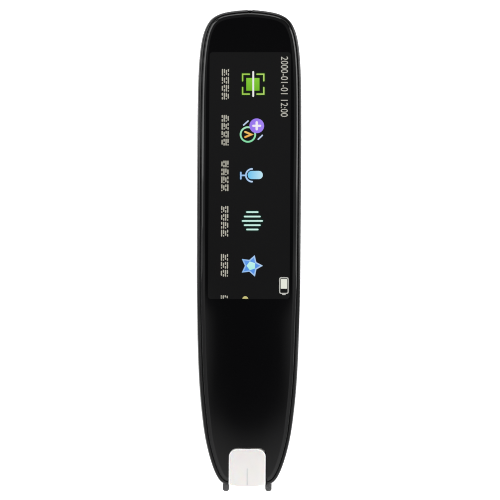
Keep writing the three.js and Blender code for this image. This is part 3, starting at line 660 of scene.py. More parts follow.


# the seam's foot between rim and cover gets a darker, duller finish: painted shade at the bottom of the groove
seam = moulded("seam_painted_shade", (0.0042, 0.0042, 0.0044), 0.6, grain=7, depth=0.006, Specular_IOR_Level=0.32)
shell.data.materials.append(seam)
seam_out, seam_in = (np.array(half + [(-x, y) for x, y in reversed(half[1:-1])]) for half in (inset(from_edge(RIM_INSET - 0.1)), inset(LEDGE_INSET + 0.03)))
for face in shell.data.polygons:
    x, y, z = (v / MM for v in face.center)
    if z > 7 and warp(x, y, LEDGE_Z) - 0.06 < z < warp(x, y, RIM_Z) - 0.05 and inside(seam_out, x, y) and not inside(seam_in, x, y):
        face.material_index = 1
piece(shell, "housing", "rear_shell", slot="shell")

# ------------------------------------------------------------------ cover: one plate with a rounded glass edge and a U cut for the window
CUT_HALF, CUT_TOP, CUT_R = WINDOW_HALF + WINDOW_GAP, WINDOW_TOP_Y + WINDOW_GAP, WINDOW_R + WINDOW_GAP


# section of the glass edge, inwards from its outer line: (mm, height); rounded beside the display, a flat bevel towards the nib
EDGE_WIDTH = 1.5
EDGE_ROUND = ((0, 10.98), (0.05, 11.037), (0.12, 11.115), (0.3, 11.24), (0.5, 11.334), (0.65, 11.383), (0.75, 11.408), (0.82, 11.4205), (1.5, FACE_Z))
EDGE_FLAT = ((0, 11.0), (0.06, 11.12), (0.22, 11.255), (1.02, 11.449), (1.12, 11.465), (1.22, FACE_Z), (1.5, FACE_Z))
EDGE_STEPS = (0, 0.03, 0.06, 0.12, 0.17, 0.22, 0.3, 0.38, 0.46, 0.54, 0.6, 0.66, 0.72, 0.78, 0.84, 0.93, 1.02, 1.12, 1.22, 1.36, 1.5)


def edge_height(s, y):
    a = float(np.interp(s, *zip(*EDGE_ROUND)))
    b = float(np.interp(s, *zip(*EDGE_FLAT)))
    return a + (b - a) * smooth(-5, -18, y)


def cover_outline():
    """Right half of the plate's edge as (x, y, vx, vy, ex, ey): the edge band runs inwards by (vx, vy), the face beyond it along (ex, ey)."""
    half = []
    for x, y, nx, ny in OUTLINE:
        d = from_edge(COVER_INSET)(y)
        px, py = x - nx * d, y - ny * d
        w = EDGE_WIDTH
        if py < -70 and px < CUT_HALF + 0.35:
            break
        vx, vy, ex, ey = -nx * w, -ny * w, -nx, -ny
        if py < -70 and px + vx < CUT_HALF + 0.16 + 0.5 * (px - CUT_HALF):
            # beside the cut the band leans, so that it stays clear of the cut's side
            vx = CUT_HALF + 0.16 + 0.5 * (px - CUT_HALF) - px
            vy = (-w - nx * vx) / ny
        if py < -70 and px + vx + 1.1 * ex < CUT_HALF + 0.6 + 0.5 * (px - CUT_HALF):
            ex = (CUT_HALF + 0.6 + 0.5 * (px - CUT_HALF) - px - vx) / 1.1
            ey = (-1.0 - nx * ex) / ny
        half.append((0.0 if x == 0 else px, py, vx, vy, ex, ey))
    # where the outer edge meets the side of the cut
    (x0, y0), i = half[-1][:2], len(half) - 1
    nx, ny = OUTLINE[i + 1][2], OUTLINE[i + 1][3]
    x1, y1 = OUTLINE[i + 1][0] - nx * COVER_INSET, OUTLINE[i + 1][1] - ny * COVER_INSET
    if x1 >= CUT_HALF:
        x2, y2 = OUTLINE[i + 2][0] - OUTLINE[i + 2][2] * COVER_INSET, OUTLINE[i + 2][1] - OUTLINE[i + 2][3] * COVER_INSET
        u = (x1 - CUT_HALF) / (x1 - x2)
        yc = y1 + (y2 - y1) * u
    else:
        u = (x0 - CUT_HALF) / (x0 - x1)
        yc = y0 + (y1 - y0) * u
    n = Vector((nx, ny)).normalized()
    w1, w2 = EDGE_WIDTH, 0.16
    # the band's inner corner stands w1 from the outer edge and w2 from the cut
    vx = w2
    vy = (-w1 - n.x * vx) / n.y
    rise = (-1.0 - n.x * 0.4) / n.y
    half.append((CUT_HALF, yc, vx, vy, 0.4, rise))
    # beyond the band the corner runs on along the same mitre, and the side of the cut starts above it
    low = yc + vy + 1.1 * rise + 0.1
    for k in range(1, 8):
        y = low + (CUT_TOP - CUT_R - low) * (k - 1) / 6.0
        half.append((CUT_HALF, y, w2, 0.0, 0.4, 0.0))
    cx, cy = CUT_HALF - CUT_R, CUT_TOP - CUT_R
    for k in range(1, 15):
        a = math.radians(90 * k / 14)
        half.append((cx + CUT_R * math.cos(a), cy + CUT_R * math.sin(a), w2 * math.cos(a), w2 * math.sin(a), 0.4 * math.cos(a), 0.4 * math.sin(a)))
    for k in range(1, 4):
        half.append((cx * (1 - k / 3.0), CUT_TOP, 0.0, w2, 0.0, 0.4))
    return half


def cover_mesh():
    half = cover_outline()
    loop = half + [(-x, y, -vx, vy, -ex, ey) for x, y, vx, vy, ex, ey in reversed(half[1:-1])]
    n = len(loop)
    rings = [[(x, y, warp(x, y, COVER_Z)) for x, y, *_ in loop], [(x, y, warp(x, y, 10.7)) for x, y, *_ in loop]]
    for step in EDGE_STEPS:
        k = step / EDGE_WIDTH
        rings.append([(x + vx * k, y + vy * k, warp(x + vx * k, y + vy * k, edge_height(step, y))) for x, y, vx, vy, *_ in loop])
    for extra in (0.1, 0.45, 1.1):
        ring = []
        for x, y, vx, vy, ex, ey in loop:
            x, y = x + vx + ex * extra, y + vy + ey * extra
            ring.append((x, y, warp(x, y, FACE_Z)))
        rings.append(ring)
    verts, faces = stack(rings, caps=False)

    def fill(ring, z, step, flip):
        edge = [Vector((p[0], p[1])) for p in ring]
        grid = []
        xs, ys = [q.x for q in edge], [q.y for q in edge]
        y = math.ceil(min(ys) / step) * step
        poly = np.array([(q.x, q.y) for q in edge])
        while y < max(ys):
            x = math.ceil(min(xs) / step) * step
            while x < max(xs):
                if clearance(poly, x, y) > step * 0.45 and inside(poly, x, y):
                    grid.append(Vector((x, y)))
                x += step
            y += step
        pts, _, tris, *_ = delaunay_2d_cdt(edge + grid, [], [tuple(range(len(edge)))], 1, 1e-5)
        base = len(verts)
        for p in pts:
            verts.append((p.x, p.y, warp(p.x, p.y, z)))
        for tri in tris:
            faces.append(tuple(base + k for k in (reversed(tri) if flip else tri)))

    fill(rings[-1], FACE_Z, 2.0, False)
    fill(rings[0], COVER_Z, 6.0, True)
    return [(lean_shift(x, y, FACE_Z, 0.0), y, z) for x, y, z in verts], faces


cover = make("cover_plate", *cover_mesh(), MAT["cover_glass"], angle=50)
piece(cover, "housing", "front_cover", slot="cover_glass")

# ------------------------------------------------------------------ nib window with its bevelled edge, and the aim line on it
def window_half(d):
    """Right half of the window's outline, moved inwards by d; the bowed lower edge keeps half of it."""
    r = WINDOW_R - d
    cx, cy = WINDOW_HALF - WINDOW_R, WINDOW_TOP_Y - WINDOW_R
    out = [(0, WINDOW_TOP_Y - d), (cx * 0.5, WINDOW_TOP_Y - d)]
    for i in range(15):
        a = math.radians(90 - 90 * i / 14)
        out.append((cx + r * math.cos(a), cy + r * math.sin(a)))
    for y in (-75.5, -77, -78.5, -80, -81.5, -82.6):
        out.append((WINDOW_HALF - d, y))
    k = 1 - d / WINDOW_HALF
    for x, y in ((6.55, -83.3), (6.35, -83.5), (5.9, -83.64), (5.1, -83.78), (4.2, -83.91), (3.2, -84.03), (2.1, -84.12), (1.0, -84.18), (0, NIB_Y)):
        out.append((x * k, y + d * 0.5))
    return out


window_levels = [(window_half(0), WINDOW_Z), (window_half(0), 10.5), (window_half(0), 11.03)]
for k in range(1, 7):
    a = math.radians(15 * k)
    window_levels.append((window_half(0.33 * (1 - math.cos(a)) * 0.55 + 0.33 * k / 6 * 0.45), 11.03 + 0.46 * (0.55 * math.sin(a) + 0.45 * k / 6)))
window = make("window_plate", *ring_loft(window_levels, 8), MAT["nib_window"], angle=40)
# the bevel faces get a whiter finish with a faint white glow: a painted highlight along the window's edges
window.data.materials.append(moulded("window_bevel_painted_highlight", (0.95, 0.945, 0.94), 0.16, grain=14, depth=0.0015, vary=0.015, Emission_Color=(1, 0.99, 0.98, 1), Emission_Strength=0.16))
for face in window.data.polygons:
    if 0.05 < face.normal.z < 0.97:
        face.material_index = 1
for vertex in window.data.vertices:
    vertex.co.x -= 0.16 * MM
piece(window, "housing", "nib_window", slot="nib_window")

# ------------------------------------------------------------------ scan trigger
def leg_outline(s):
    r, a, b, out = 0.78, LEG_IN, LEG_OUT, []
    for i in range(9):
        t = math.radians(180 + 90 * i / 8)
        out.append((a + r + r * math.cos(t), LEG_TIP_Y + r + r * math.sin(t)))
    for i in range(9):
        t = math.radians(270 + 90 * i / 8)
        out.append((b - r + r * math.cos(t), LEG_TIP_Y + r + r * math.sin(t)))
    out += [(b, -66.1), (b + 1.4, -66.1), (b + 1.4, -64.6), (b, -64.6), (b, BAR_Y1), (a, BAR_Y1)]
    return [(s * x, y) for x, y in (out if s > 0 else reversed(out))]


trigger = make("scan_trigger_bow", *stack([[(x, y, z) for x, y in leg_outline(1)] for z in (LEG_Z0, LEG_Z1)]), MAT["trigger_plastic"])
left_leg = make("c", *stack([[(x, y, z) for x, y in leg_outline(-1)] for z in (LEG_Z0, LEG_Z1)]))
bar = make("c", *stack([
    [(-LEG_OUT, y, 1.65), (LEG_OUT, y, 1.65), (LEG_OUT, y, LEG_Z0 + 0.5), (LEG_IN, y, LEG_Z0 + 0.5), (LEG_IN, y, 2.9), (-LEG_IN, y, 2.9), (-LEG_IN, y, LEG_Z0 + 0.5), (-LEG_OUT, y, LEG_Z0 + 0.5)]
    for y in (BAR_Y0, BAR_Y1)
]))
combine(trigger, "UNION", left_leg, bar)
bevelled(trigger, 0.42, 4, 40)
piece(trigger, "trigger", "scan_trigger", slot="trigger_plastic")

# ------------------------------------------------------------------ return springs: closed end coils, open turns between
for side, name in ((-1, "return_spring_left"), (1, "return_spring_right")):
    line = []
    for i in range(241):
        u = i / 240
        turn = 5.6 * u
        mid = min(1.0, max(0.0, (turn - 0.7) / 4.2))
        y = -60.1 + 4.3 * (0.06 * min(1.0, turn / 0.7) + 0.88 * mid + 0.06 * min(1.0, max(0.0, (turn - 4.9) / 0.7)))
        a = 2 * math.pi * turn
        line.append((side * 7.6 + 1.05 * math.cos(a), y, 4.9 + 1.05 * math.sin(a)))
    spring = make(name + "_wire", *tube(line, 0.18, 10), MAT["steel"], angle=50)
    piece(spring, "housing", name, slot="steel")
    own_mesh(spring)

# ------------------------------------------------------------------ power button: crowned cap on a flange
cap = []
for x, g in ((-2.95, 0.7), (-2.33, 0.7)):
    cap.append([(BUTTON_FACE + x, BUTTON_Y + a, BUTTON_Z + b) for a, b in rounded(-BUTTON_LEN / 2 - g, BUTTON_LEN / 2 + g, -BUTTON_TALL / 2 - 0.3, BUTTON_TALL / 2 + 0.3, 1.0, 8)])
for x, g in ((-2.33, 0), (-0.34, 0), (-0.26, 0.02), (-0.16, 0.07), (-0.08, 0.16), (-0.03, 0.3), (-0.01, 0.5), (0.0, 0.9)):
    cap.append([(BUTTON_FACE + x, BUTTON_Y + a, BUTTON_Z + b) for a, b in rounded(-BUTTON_LEN / 2 + g, BUTTON_LEN / 2 - g, -BUTTON_TALL / 2 + g, BUTTON_TALL / 2 - g, 1.3 - g, 8)])
button = make("power_button_cap", *stack(cap), MAT["shell"])
piece(button, "button", "power_button", slot="shell")

# ------------------------------------------------------------------ contacts on the receptacle's tongue
pads = []
for i in range(12):
    x = -2.75 + i * 0.5
    for z0, z1 in ((0.345, 0.40), (-0.40, -0.345)):
        pads.append(stack([[(x - 0.14, y, USB_Z + z), (x + 0.14, y, USB_Z + z), (x + 0.14, y2, USB_Z + z), (x - 0.14, y2, USB_Z + z)] for z in (z0, z1) for y, y2 in ((USB_MOUTH_Y - 4.6, USB_MOUTH_Y - 1.15),)]))
gold = rolled("gold_contacts", (0.86, 0.62, 0.25), 0.24, (1, 0.15, 1))
contacts = make("usb_contacts", *merged(pads), gold, weld=False)
piece(contacts, "housing")

# ------------------------------------------------------------------ inner pieces: the plain ones get rounded edges, the rest are rebuilt finer
def refined(node, width, body="housing", segments=2, tools=()):
    """A copy of a CAD node with its flats joined and its edges rounded, in the node's own place."""
    source = frame["nodes"][node]
    me = source.data.copy()
    me.transform(source.matrix_world)
    bm = bmesh.new()
    bm.from_mesh(me)
    bmesh.ops.remove_doubles(bm, verts=bm.verts, dist=2e-6)
    bmesh.ops.dissolve_limit(bm, angle_limit=math.radians(1.0), verts=bm.verts, edges=bm.edges)
    bmesh.ops.recalc_face_normals(bm, faces=bm.faces)
    bm.to_mesh(me)
    bm.free()
    ob = bpy.data.objects.new(node + "_body", me)
    scene.collection.objects.link(ob)
    combine(ob, "DIFFERENCE", *tools)
    bevelled(ob, width, segments)
    return piece(ob, body, node, slot=SLOT[node])


def in_xy(x0, x1, y0, y1, r, z, steps=6):
    return [(x, y, z) for x, y in rounded(x0, x1, y0, y1, r, steps)]


def in_xz(x0, x1, z0, z1, r, y, steps=6):
    return [(x, y, z) for x, z in rounded(x0, x1, z0, z1, r, steps)]


def in_yz(y0, y1, z0, z1, r, x, steps=6):
    return [(x, y, z) for y, z in rounded(y0, y1, z0, z1, r, steps)]


def turned(profile, x, y, z, axis="Z", sides=40):
    """Rings of a turned body; each (radius, height) is measured from a point along an axis."""
    rings = []
    for r, h in profile:
        ring = []
        for k in range(sides):
            a, b = r * math.cos(2 * math.pi * k / sides), r * math.sin(2 * math.pi * k / sides)
            ring.append((x + a, y + b, z + h) if axis == "Z" else (x + a, y + h, z + b))
        rings.append(ring)
    return rings


SLOT = {part["node"]: part["material_slot"] for part in frame["record"]["subparts"]}
for node, width in (
    ("display_backlight", 0.14), ("display_panel", 0.1), ("touch_sensor", 0.035), ("optical_adhesive", 0.045),
    ("main_board", 0.06), ("shield_can", 0.1), ("usb_receptacle_tongue", 0.09),
    ("lamp_board", 0.06), ("camera_holder", 0.16), ("trigger_switch", 0.12), ("power_switch", 0.1),
    ("speaker_gasket", 0.1), ("battery_pad", 0.09),
):
    refined(node, width)
# the light chamber's upper corners step down, so no white shows beside the window's rounded corners
steps = [stack([in_xy(min(s * 4.9, s * 6.6), max(s * 4.9, s * 6.6), -72.9, -69.2, 0.3, z) for z in (7.6, 11.4)]) for s in (-1, 1)]
refined("light_chamber", 0.1, tools=[make("c", *shape) for shape in steps])
refined("trigger_plunger", 0.14, "trigger_switch_plunger", 3)
refined("power_plunger", 0.13, "power_switch_plunger", 3)

# packages: a thin substrate, a moulded cap with a drafted edge and a dimple at its first corner
for node, x0, x1, y0, y1, z1 in (("processor", -5.5, 5.5, 40.5, 51.5, 3.85), ("memory_chip", -7.0, 1.0, 60.0, 70.0, 3.65)):
    rings = [in_xy(x0 + g, x1 - g, y0 + g, y1 - g, r, z) for z, g, r in ((2.75, 0.04, 0.26), (2.79, 0, 0.3), (3.03, 0, 0.3), (3.04, 0.3, 0.4), (z1 - 0.1, 0.42, 0.4), (z1, 0.52, 0.4))]
    chip = make(node + "_package", *stack(rings), MAT["chip_epoxy"])
    combine(chip, "DIFFERENCE", make("c", *stack(turned([(0.28, -0.07), (0.4, 0.0), (0.5, 0.3)], x0 + 1.5, y1 - 1.5, z1, sides=24))))
    piece(chip, "housing", node, slot="chip_epoxy")

coil = make("power_inductor_body", *stack([in_xy(5 + g, 8 - g, 62.5 + g, 65.5 - g, 0.6, z) for z, g in ((2.75, 0.08), (2.83, 0), (4.2, 0), (4.3, 0.06), (4.35, 0.18))]), MAT["chip_epoxy"])
combine(coil, "DIFFERENCE", make("c", *stack(turned([(0.9, -0.14), (1.0, -0.1), (1.06, 0.3)], 6.5, 64.0, 4.35, sides=32))))
piece(coil, "housing", "power_inductor", slot="chip_epoxy")

# board connectors: open socket, and a row of feet on each side
for node, x0, x1 in (("display_connector", 3.7, 12.3), ("camera_connector", -6.2, -0.6)):
    socket = make(node + "_socket", *stack([in_xy(x0 + 0.12 + g, x1 - 0.12 - g, 25.72 + g, 28.08 - g, 0.25, z) for z, g in ((2.8, 0.05), (2.85, 0), (4.07, 0), (4.15, 0.08))]), MAT["connector_plastic"])
    combine(socket, "DIFFERENCE", make("c", *stack([in_xy(x0 + 0.6 - g, x1 - 0.6 + g, 26.35 - g, 27.45 + g, 0.15, z) for z, g in ((3.3, 0), (4.0, 0), (4.16, 0.1), (4.3, 0.1))])))
    piece(socket, "housing", node, slot="connector_plastic")
    feet = []
    for k in range(int((x1 - x0 - 1.2) / 0.5) + 1):
        x = (x0 + x1) / 2 + 0.5 * (k - int((x1 - x0 - 1.2) / 0.5) / 2)
        for s, y in ((1, 25.42), (-1, 28.38)):
            side = [(y, 2.76), (y, 2.88), (y + s * 0.22, 2.9), (y + s * 0.26, 3.2), (y + s * 0.42, 3.2), (y + s * 0.42, 2.76)]
            feet.append(stack([[(x + w, b, c) for b, c in side] for w in (-0.1, 0.1)]))
    feet = make(node + "_feet", *merged(feet), gold, weld=False)
    piece(feet, "housing")

# small parts on the main board: ceramic bodies with metal ends
ceramic, ends = [], []
spots = [(-10.5 + 1.9 * k, 31.0, 0) for k in range(12)] + [(-10.4 + 2.3 * k, 33.2, 0) for k in range(10)]
spots += [(s * (10.6 + 0.5 * (k % 2)), 36.0 + 2.05 * k, 1) for s in (-1, 1) for k in range(10)]
spots += [(-10.4 + 1.6 * k, 58.3, 1 if k % 3 else 0) for k in range(14)]
spots += [(x, 60.6 + 1.7 * k, 1) for x in (2.3, 3.5) for k in range(6)] + [(9.6, 61.4 + 1.9 * k, 0) for k in range(4)]
spots += [(-6.6 + 1.45 * k, 73.4, 1) for k in range(10)] + [(-9.6, 62.0 + 2.1 * k, 0) for k in range(4)]
for x, y, up in spots:
    a, b = (0.26, 0.5) if up else (0.5, 0.26)
    ceramic.append(stack([in_xy(x - a * k, x + a * k, y - b * k, y + b * k, 0.05, z, 2) for z, k in ((2.72, 0.9), (3.12, 0.9), (3.16, 0.8))]))
    for s in (-1, 1):
        cx, cy = (x, y + s * (b - 0.11)) if up else (x + s * (a - 0.11), y)
        w, l = (a + 0.01, 0.13) if up else (0.13, b + 0.01)
        ends.append(stack([in_xy(cx - w * k, cx + w * k, cy - l * k, cy + l * k, 0.05, z, 2) for z, k in ((2.71, 1.0), (3.14, 1.0), (3.19, 0.8))]))
tan = moulded("ceramic_tan", (0.42, 0.31, 0.20), 0.42, grain=14, depth=0.004, vary=0.15)
piece(make("board_capacitors", *merged(ceramic), tan, weld=False), "housing")
piece(make("board_capacitor_ends", *merged(ends), MAT["steel"], weld=False), "housing")

# charging receptacle: rolled shell with a rounded mouth
rings = []
for y, g in ((77.6, 0.2), (77.66, 0.07), (77.8, 0), (84.48, 0), (84.56, 0.03), (84.6, 0.1), (84.6, 0.2), (84.56, 0.27), (84.48, 0.3), (78.0, 0.3)):
    rings.append(in_xz(-4.47 + g, 4.47 - g, USB_Z - 1.63 + g, USB_Z + 1.63 - g, 1.6 - g, y, 12))
piece(make("usb_receptacle_can", *stack(rings), MAT["steel"]), "housing", "usb_receptacle_shell", slot="steel")

# microphone can with its port, and the ribbed boot that leads to the hole in the end wall
piece(make("microphone_can", *stack(turned([(0.98, 0), (1.07, 0.03), (1.1, 0.1), (1.1, 1.38), (1.07, 1.46), (0.98, 1.5), (0.36, 1.5), (0.32, 1.46), (0.32, 1.25)], -6.9, 79.15, 3.9, "Y")), MAT["silver_foil"]), "housing", "microphone", slot="silver_foil")
ribs = [(1.06, 0), (1.15, 0.09), (1.15, 0.45), (1.02, 0.58), (1.02, 0.82), (1.15, 0.95), (1.15, 1.2), (1.02, 1.33), (1.02, 1.5), (1.13, 1.6), (1.13, 1.74), (1.06, 1.8), (0.52, 1.8), (0.42, 1.7), (0.42, 0.1), (0.52, 0), (1.06, 0)]
piece(make("microphone_boot_ribbed", *stack(turned(ribs, -6.9, 80.85, 3.9, "Y"), caps=False), MAT["rubber"]), "housing", "microphone_boot", slot="rubber")

# antenna: film with a raised meander
film = make("antenna_film", *stack([in_yz(42.0, 62.0, 3.9, 6.5, 0.3, x) for x in (-15.975, -15.885)]), MAT["flex_circuit"])
piece(film, "housing", "antenna", slot="flex_circuit")
path = [(43.2, 4.3)]
for k in range(12):
    y = 43.2 + 1.5 * k
    path += [(y, 6.1), (y + 0.75, 6.1), (y + 0.75, 4.3), (y + 1.5, 4.3)]
trace = []
for (ya, za), (yb, zb) in zip(path, path[1:]):
    trace.append(stack([[(x, y, z) for y, z in ((min(ya, yb) - 0.12, min(za, zb) - 0.12), (max(ya, yb) + 0.12, min(za, zb) - 0.12), (max(ya, yb) + 0.12, max(za, zb) + 0.12), (min(ya, yb) - 0.12, max(za, zb) + 0.12))] for x in (-15.89, -15.835)]))
copper = rolled("copper_trace", (0.72, 0.36, 0.2), 0.3, (1, 1, 0.2))
piece(make("antenna_trace", *merged(trace), copper, weld=False), "housing")

# battery: foil pouch with a stepped end, tape over the step, tabs to its small board
rings = []
for y, gx, z0, z1, r in (
    (-36.25, 0.9, 2.5, 5.56, 0.7), (-36.2, 0.5, 2.1, 5.96, 0.8), (-36.0, 0.2, 1.86, 6.2, 0.9), (-35.6, 0.0, 1.74, 6.32, 0.95),
    (16.7, 0.0, 1.74, 6.32, 0.95), (17.0, 0.15, 1.84, 6.22, 0.9), (17.2, 0.4, 2.2, 5.8, 0.8), (17.35, 0.9, 3.3, 4.9, 0.5), (17.5, 1.1, 3.66, 4.5, 0.3), (18.6, 1.1, 3.7, 4.46, 0.3), (18.75, 1.25, 3.85, 4.3, 0.2),
):
    rings.append(in_xz(-12.3 + gx, 12.3 - gx, z0, z1, r, y, 8))
piece(make("battery_pouch", *stack(rings), MAT["silver_foil"], angle=40), "housing", "battery_cell", slot="silver_foil")
band = [in_xz(-12.3 - g, 12.3 + g, 1.74 - g, 6.32 + g, 0.95 + g, y, 8) for y, g in ((12.2, 0.004), (12.22, 0.03), (16.38, 0.03), (16.4, 0.004))]
amber = flex("amber_tape")
piece(make("battery_tape", *stack(band), amber), "housing")
piece(make("battery_board_plate", *stack([in_xz(-8.5, 8.5, 3.3, 4.7, 0.35, y) for y in (19.4, 20.0)]), MAT["circuit_board"]), "housing", "battery_board", slot="circuit_board")
parts = [stack([in_xz(x - w + g, x + w - g, 3.62 + g, 4.38 - g, 0.08, y, 3) for y, g in ((19.99, 0), (20.9, 0.0), (20.98, 0.06))]) for x, w in ((-6.6, 0.7), (-4.6, 0.4), (-2.2, 1.2), (1.2, 1.2), (3.8, 0.5), (6.4, 0.8))]
piece(make("battery_board_parts", *merged(parts), MAT["chip_epoxy"], weld=False), "housing")
tabs = [stack([in_xz(x - 1.1, x + 1.1, 4.02, 4.14, 0.05, y, 2) for y in (18.7, 19.45)]) for x in (-5.5, 5.5)]
piece(make("battery_tabs", *merged(tabs), MAT["steel"], weld=False), "housing")

# speaker: moulded box, cone with its rolled surround, magnet plate
speaker = make("speaker_box", *stack([in_xy(-9.4 + g, 9.4 - g, -52.6 + g, -40.0 - g, 1.6, z, 8) for z, g in ((2.12, 0.16), (2.2, 0.04), (2.34, 0), (5.12, 0), (5.26, 0.05), (5.32, 0.18))]), MAT["chip_epoxy"])
combine(speaker, "DIFFERENCE", make("c", *stack([in_xy(-7.1 + g, 7.1 - g, -50.5 + g, -42.1 - g, 3.6, z, 8) for z, g in ((1.0, -0.2), (2.1, -0.2), (2.35, 0), (3.4, 0))])))
piece(speaker, "housing", "speaker_module", slot="chip_epoxy")
cone = [in_xy(-7.05 + g, 7.05 - g, -50.45 + g, -42.15 - g, 3.6 - g, z, 8) for g, z in ((0, 3.3), (0, 3.0), (0.15, 2.86), (0.4, 2.72), (0.7, 2.66), (1.0, 2.72), (1.25, 2.86), (1.35, 3.0), (1.9, 2.95), (2.6, 2.84), (3.2, 2.8))]
piece(make("speaker_cone", *stack(cone), MAT["rubber"], angle=50), "housing")
piece(make("speaker_magnet", *stack([in_xy(-7 + g, 7 - g, -50.5 + g, -42.1 - g, 1.2, z, 6) for z, g in ((5.2, 0), (5.98, 0), (6.08, 0.05), (6.12, 0.16))]), MAT["steel"]), "housing")
piece(make("speaker_mesh_sheet", *stack([in_xy(-7.8 + g, 7.8 - g, -51.1 + g, -41.5 - g, 1.1, z) for z, g in ((1.35, 0.05), (1.38, 0), (1.46, 0), (1.49, 0.05))]), MAT["dust_mesh"]), "housing", "speaker_mesh", slot="dust_mesh")

# lamps: white package with a phosphor pane set in it
for node, x0 in (("lamp_left", -4.85), ("lamp_right", 3.35)):
    case = [in_xz(x0 + g, x0 + 1.5 - g, 4.9 + g, 6.3 - g, 0.16, y, 4) for y, g in ((-69.25, 0.03), (-69.3, 0), (-69.9, 0), (-69.95, 0.05), (-69.95, 0.16), (-69.9, 0.2), (-69.62, 0.26))]
    piece(make(node + "_case", *stack(case), MAT["white_plastic"]), "housing")
    pane = [in_xz(x0 + g, x0 + 1.5 - g, 4.9 + g, 6.3 - g, 0.14, y, 4) for y, g in ((-69.58, 0.27), (-69.78, 0.25), (-69.84, 0.3), (-69.87, 0.42))]
    piece(make(node + "_pane", *stack(pane), MAT["lamp"]), "housing", node, slot="lamp")

# camera: threaded barrel with a glass front
barrel = [(1.6, 0), (1.94, 0), (2.0, 0.06)]
for k in range(9):
    barrel += [(2.0, 0.2 + 0.24 * k), (1.92, 0.28 + 0.24 * k), (1.92, 0.34 + 0.24 * k), (2.0, 0.42 + 0.24 * k)]
barrel += [(2.0, 3.1), (1.96, 3.22), (1.62, 3.46), (1.5, 3.5), (1.26, 3.5), (1.18, 3.44), (1.12, 2.7)]
piece(make("camera_barrel", *stack(turned([(r, -h) for r, h in barrel], 0, -66.6, 5.6, "Y", 48)), MAT["connector_black"], angle=25), "housing")
front = [(1.09, 2.6), (1.09, 3.0), (0.98, 3.1), (0.8, 3.18), (0.55, 3.25), (0.3, 3.285), (0.06, 3.3)]
piece(make("camera_glass", *stack(turned([(r, -h) for r, h in front], 0, -66.6, 5.6, "Y", 48)), MAT["display_glass"], angle=60), "housing", "camera_lens", slot="display_glass")
piece(make("camera_board_plate", *stack([in_xz(-4.2, 4.2, 3.3, 7.9, 0.4, y) for y in (-63.8, -63.42)]), MAT["circuit_board"]), "housing", "camera_board", slot="circuit_board")
parts = [stack([in_xz(x - w, x + w, z - 0.3, z + 0.3, 0.08, y, 3) for y in (-63.43, -63.22)]) for x, w, z in ((-3.2, 0.5, 4.2), (-1.4, 0.5, 4.2), (0.9, 1.0, 4.4), (3.0, 0.5, 4.2), (2.9, 0.5, 7.0), (-0.2, 0.5, 7.1))]
piece(make("camera_board_parts", *merged(parts), MAT["chip_epoxy"], weld=False), "housing")

# switch boards with their fixing holes
plate = make("trigger_board_plate", *stack([in_xy(-5.5, 5.5, -59.2, -55.0, 0.7, z) for z in (1.42, 1.82)]), MAT["circuit_board"])
combine(plate, "DIFFERENCE", *(make("c", *stack(turned([(0.5, -1), (0.5, 1)], x, -57.1, 1.62, sides=24))) for x in (-4.4, 4.4)))
piece(plate, "housing", "trigger_board", slot="circuit_board")
plate = make("power_switch_board_plate", *stack([in_yz(40, 48, 3.2, 7.2, 0.7, x) for x in (12.75, 13.15)]), MAT["circuit_board"])
holes = ([[(x, y + 0.45 * math.cos(a), 5.2 + 0.45 * math.sin(a)) for a in (k * math.pi / 12 for k in range(24))] for x in (12, 14)] for y in (40.9, 47.1))
combine(plate, "DIFFERENCE", *(make("c", *stack(h)) for h in holes))
piece(plate, "housing", "power_switch_board", slot="circuit_board")

# screws: domed pan head with a cross recess, and a threaded shank
body = [(0.1, -4.7), (0.28, -4.62), (0.5, -4.3), (0.58, -4.05), (0.58, -0.3), (0.62, -0.06), (0.7, 0.0), (1.28, 0.0), (1.35, 0.07), (1.35, 0.3), (1.3, 0.48), (1.14, 0.66), (0.85, 0.78), (0.45, 0.84), (0.06, 0.85)]
screw = make("c", *stack(turned(body, 0, 0, 0)), MAT["steel"])
for a, b in ((0.78, 0.17), (0.17, 0.78)):
    combine(screw, "DIFFERENCE", make("c", *stack([in_xy(-a * k, a * k, -b * k, b * k, 0.05, z, 3) for z, k in ((0.36, 0.55), (0.86, 1.0), (1.2, 1.1))])))
turns = [(0.56 * math.cos(2 * math.pi * t), 0.56 * math.sin(2 * math.pi * t), -4.1 + 0.46 * t) for t in (k / 20 for k in range(int(8 * 20) + 1))]
combine(screw, "UNION", make("c", *tube(turns, 0.115, 8), MAT["steel"]))
for k, (x, y) in enumerate(((-10.4, 77.4), (10.4, 77.4), (-14.4, -27), (14.4, -27), (-13.2, -51.5), (13.2, -51.5))):
    me = screw.data.copy()
    me.transform(Matrix.Translation((x * MM, y * MM, (warp(x, y, 8.0) + 0.06) * MM)))
    one = bpy.data.objects.new(f"screw_{k + 1}_threaded", me)
    scene.collection.objects.link(one)
    piece(one, "housing", f"screw_{k + 1}", slot="steel")
bpy.data.objects.remove(screw)

# ------------------------------------------------------------------ lit display: a dark field under the glass and plain symbols on it
def srgb(r, g, b):
    return tuple(v / 255 / 12.92 if v <= 10 else ((v / 255 + 0.055) / 1.055) ** 2.4 for v in (r, g, b))


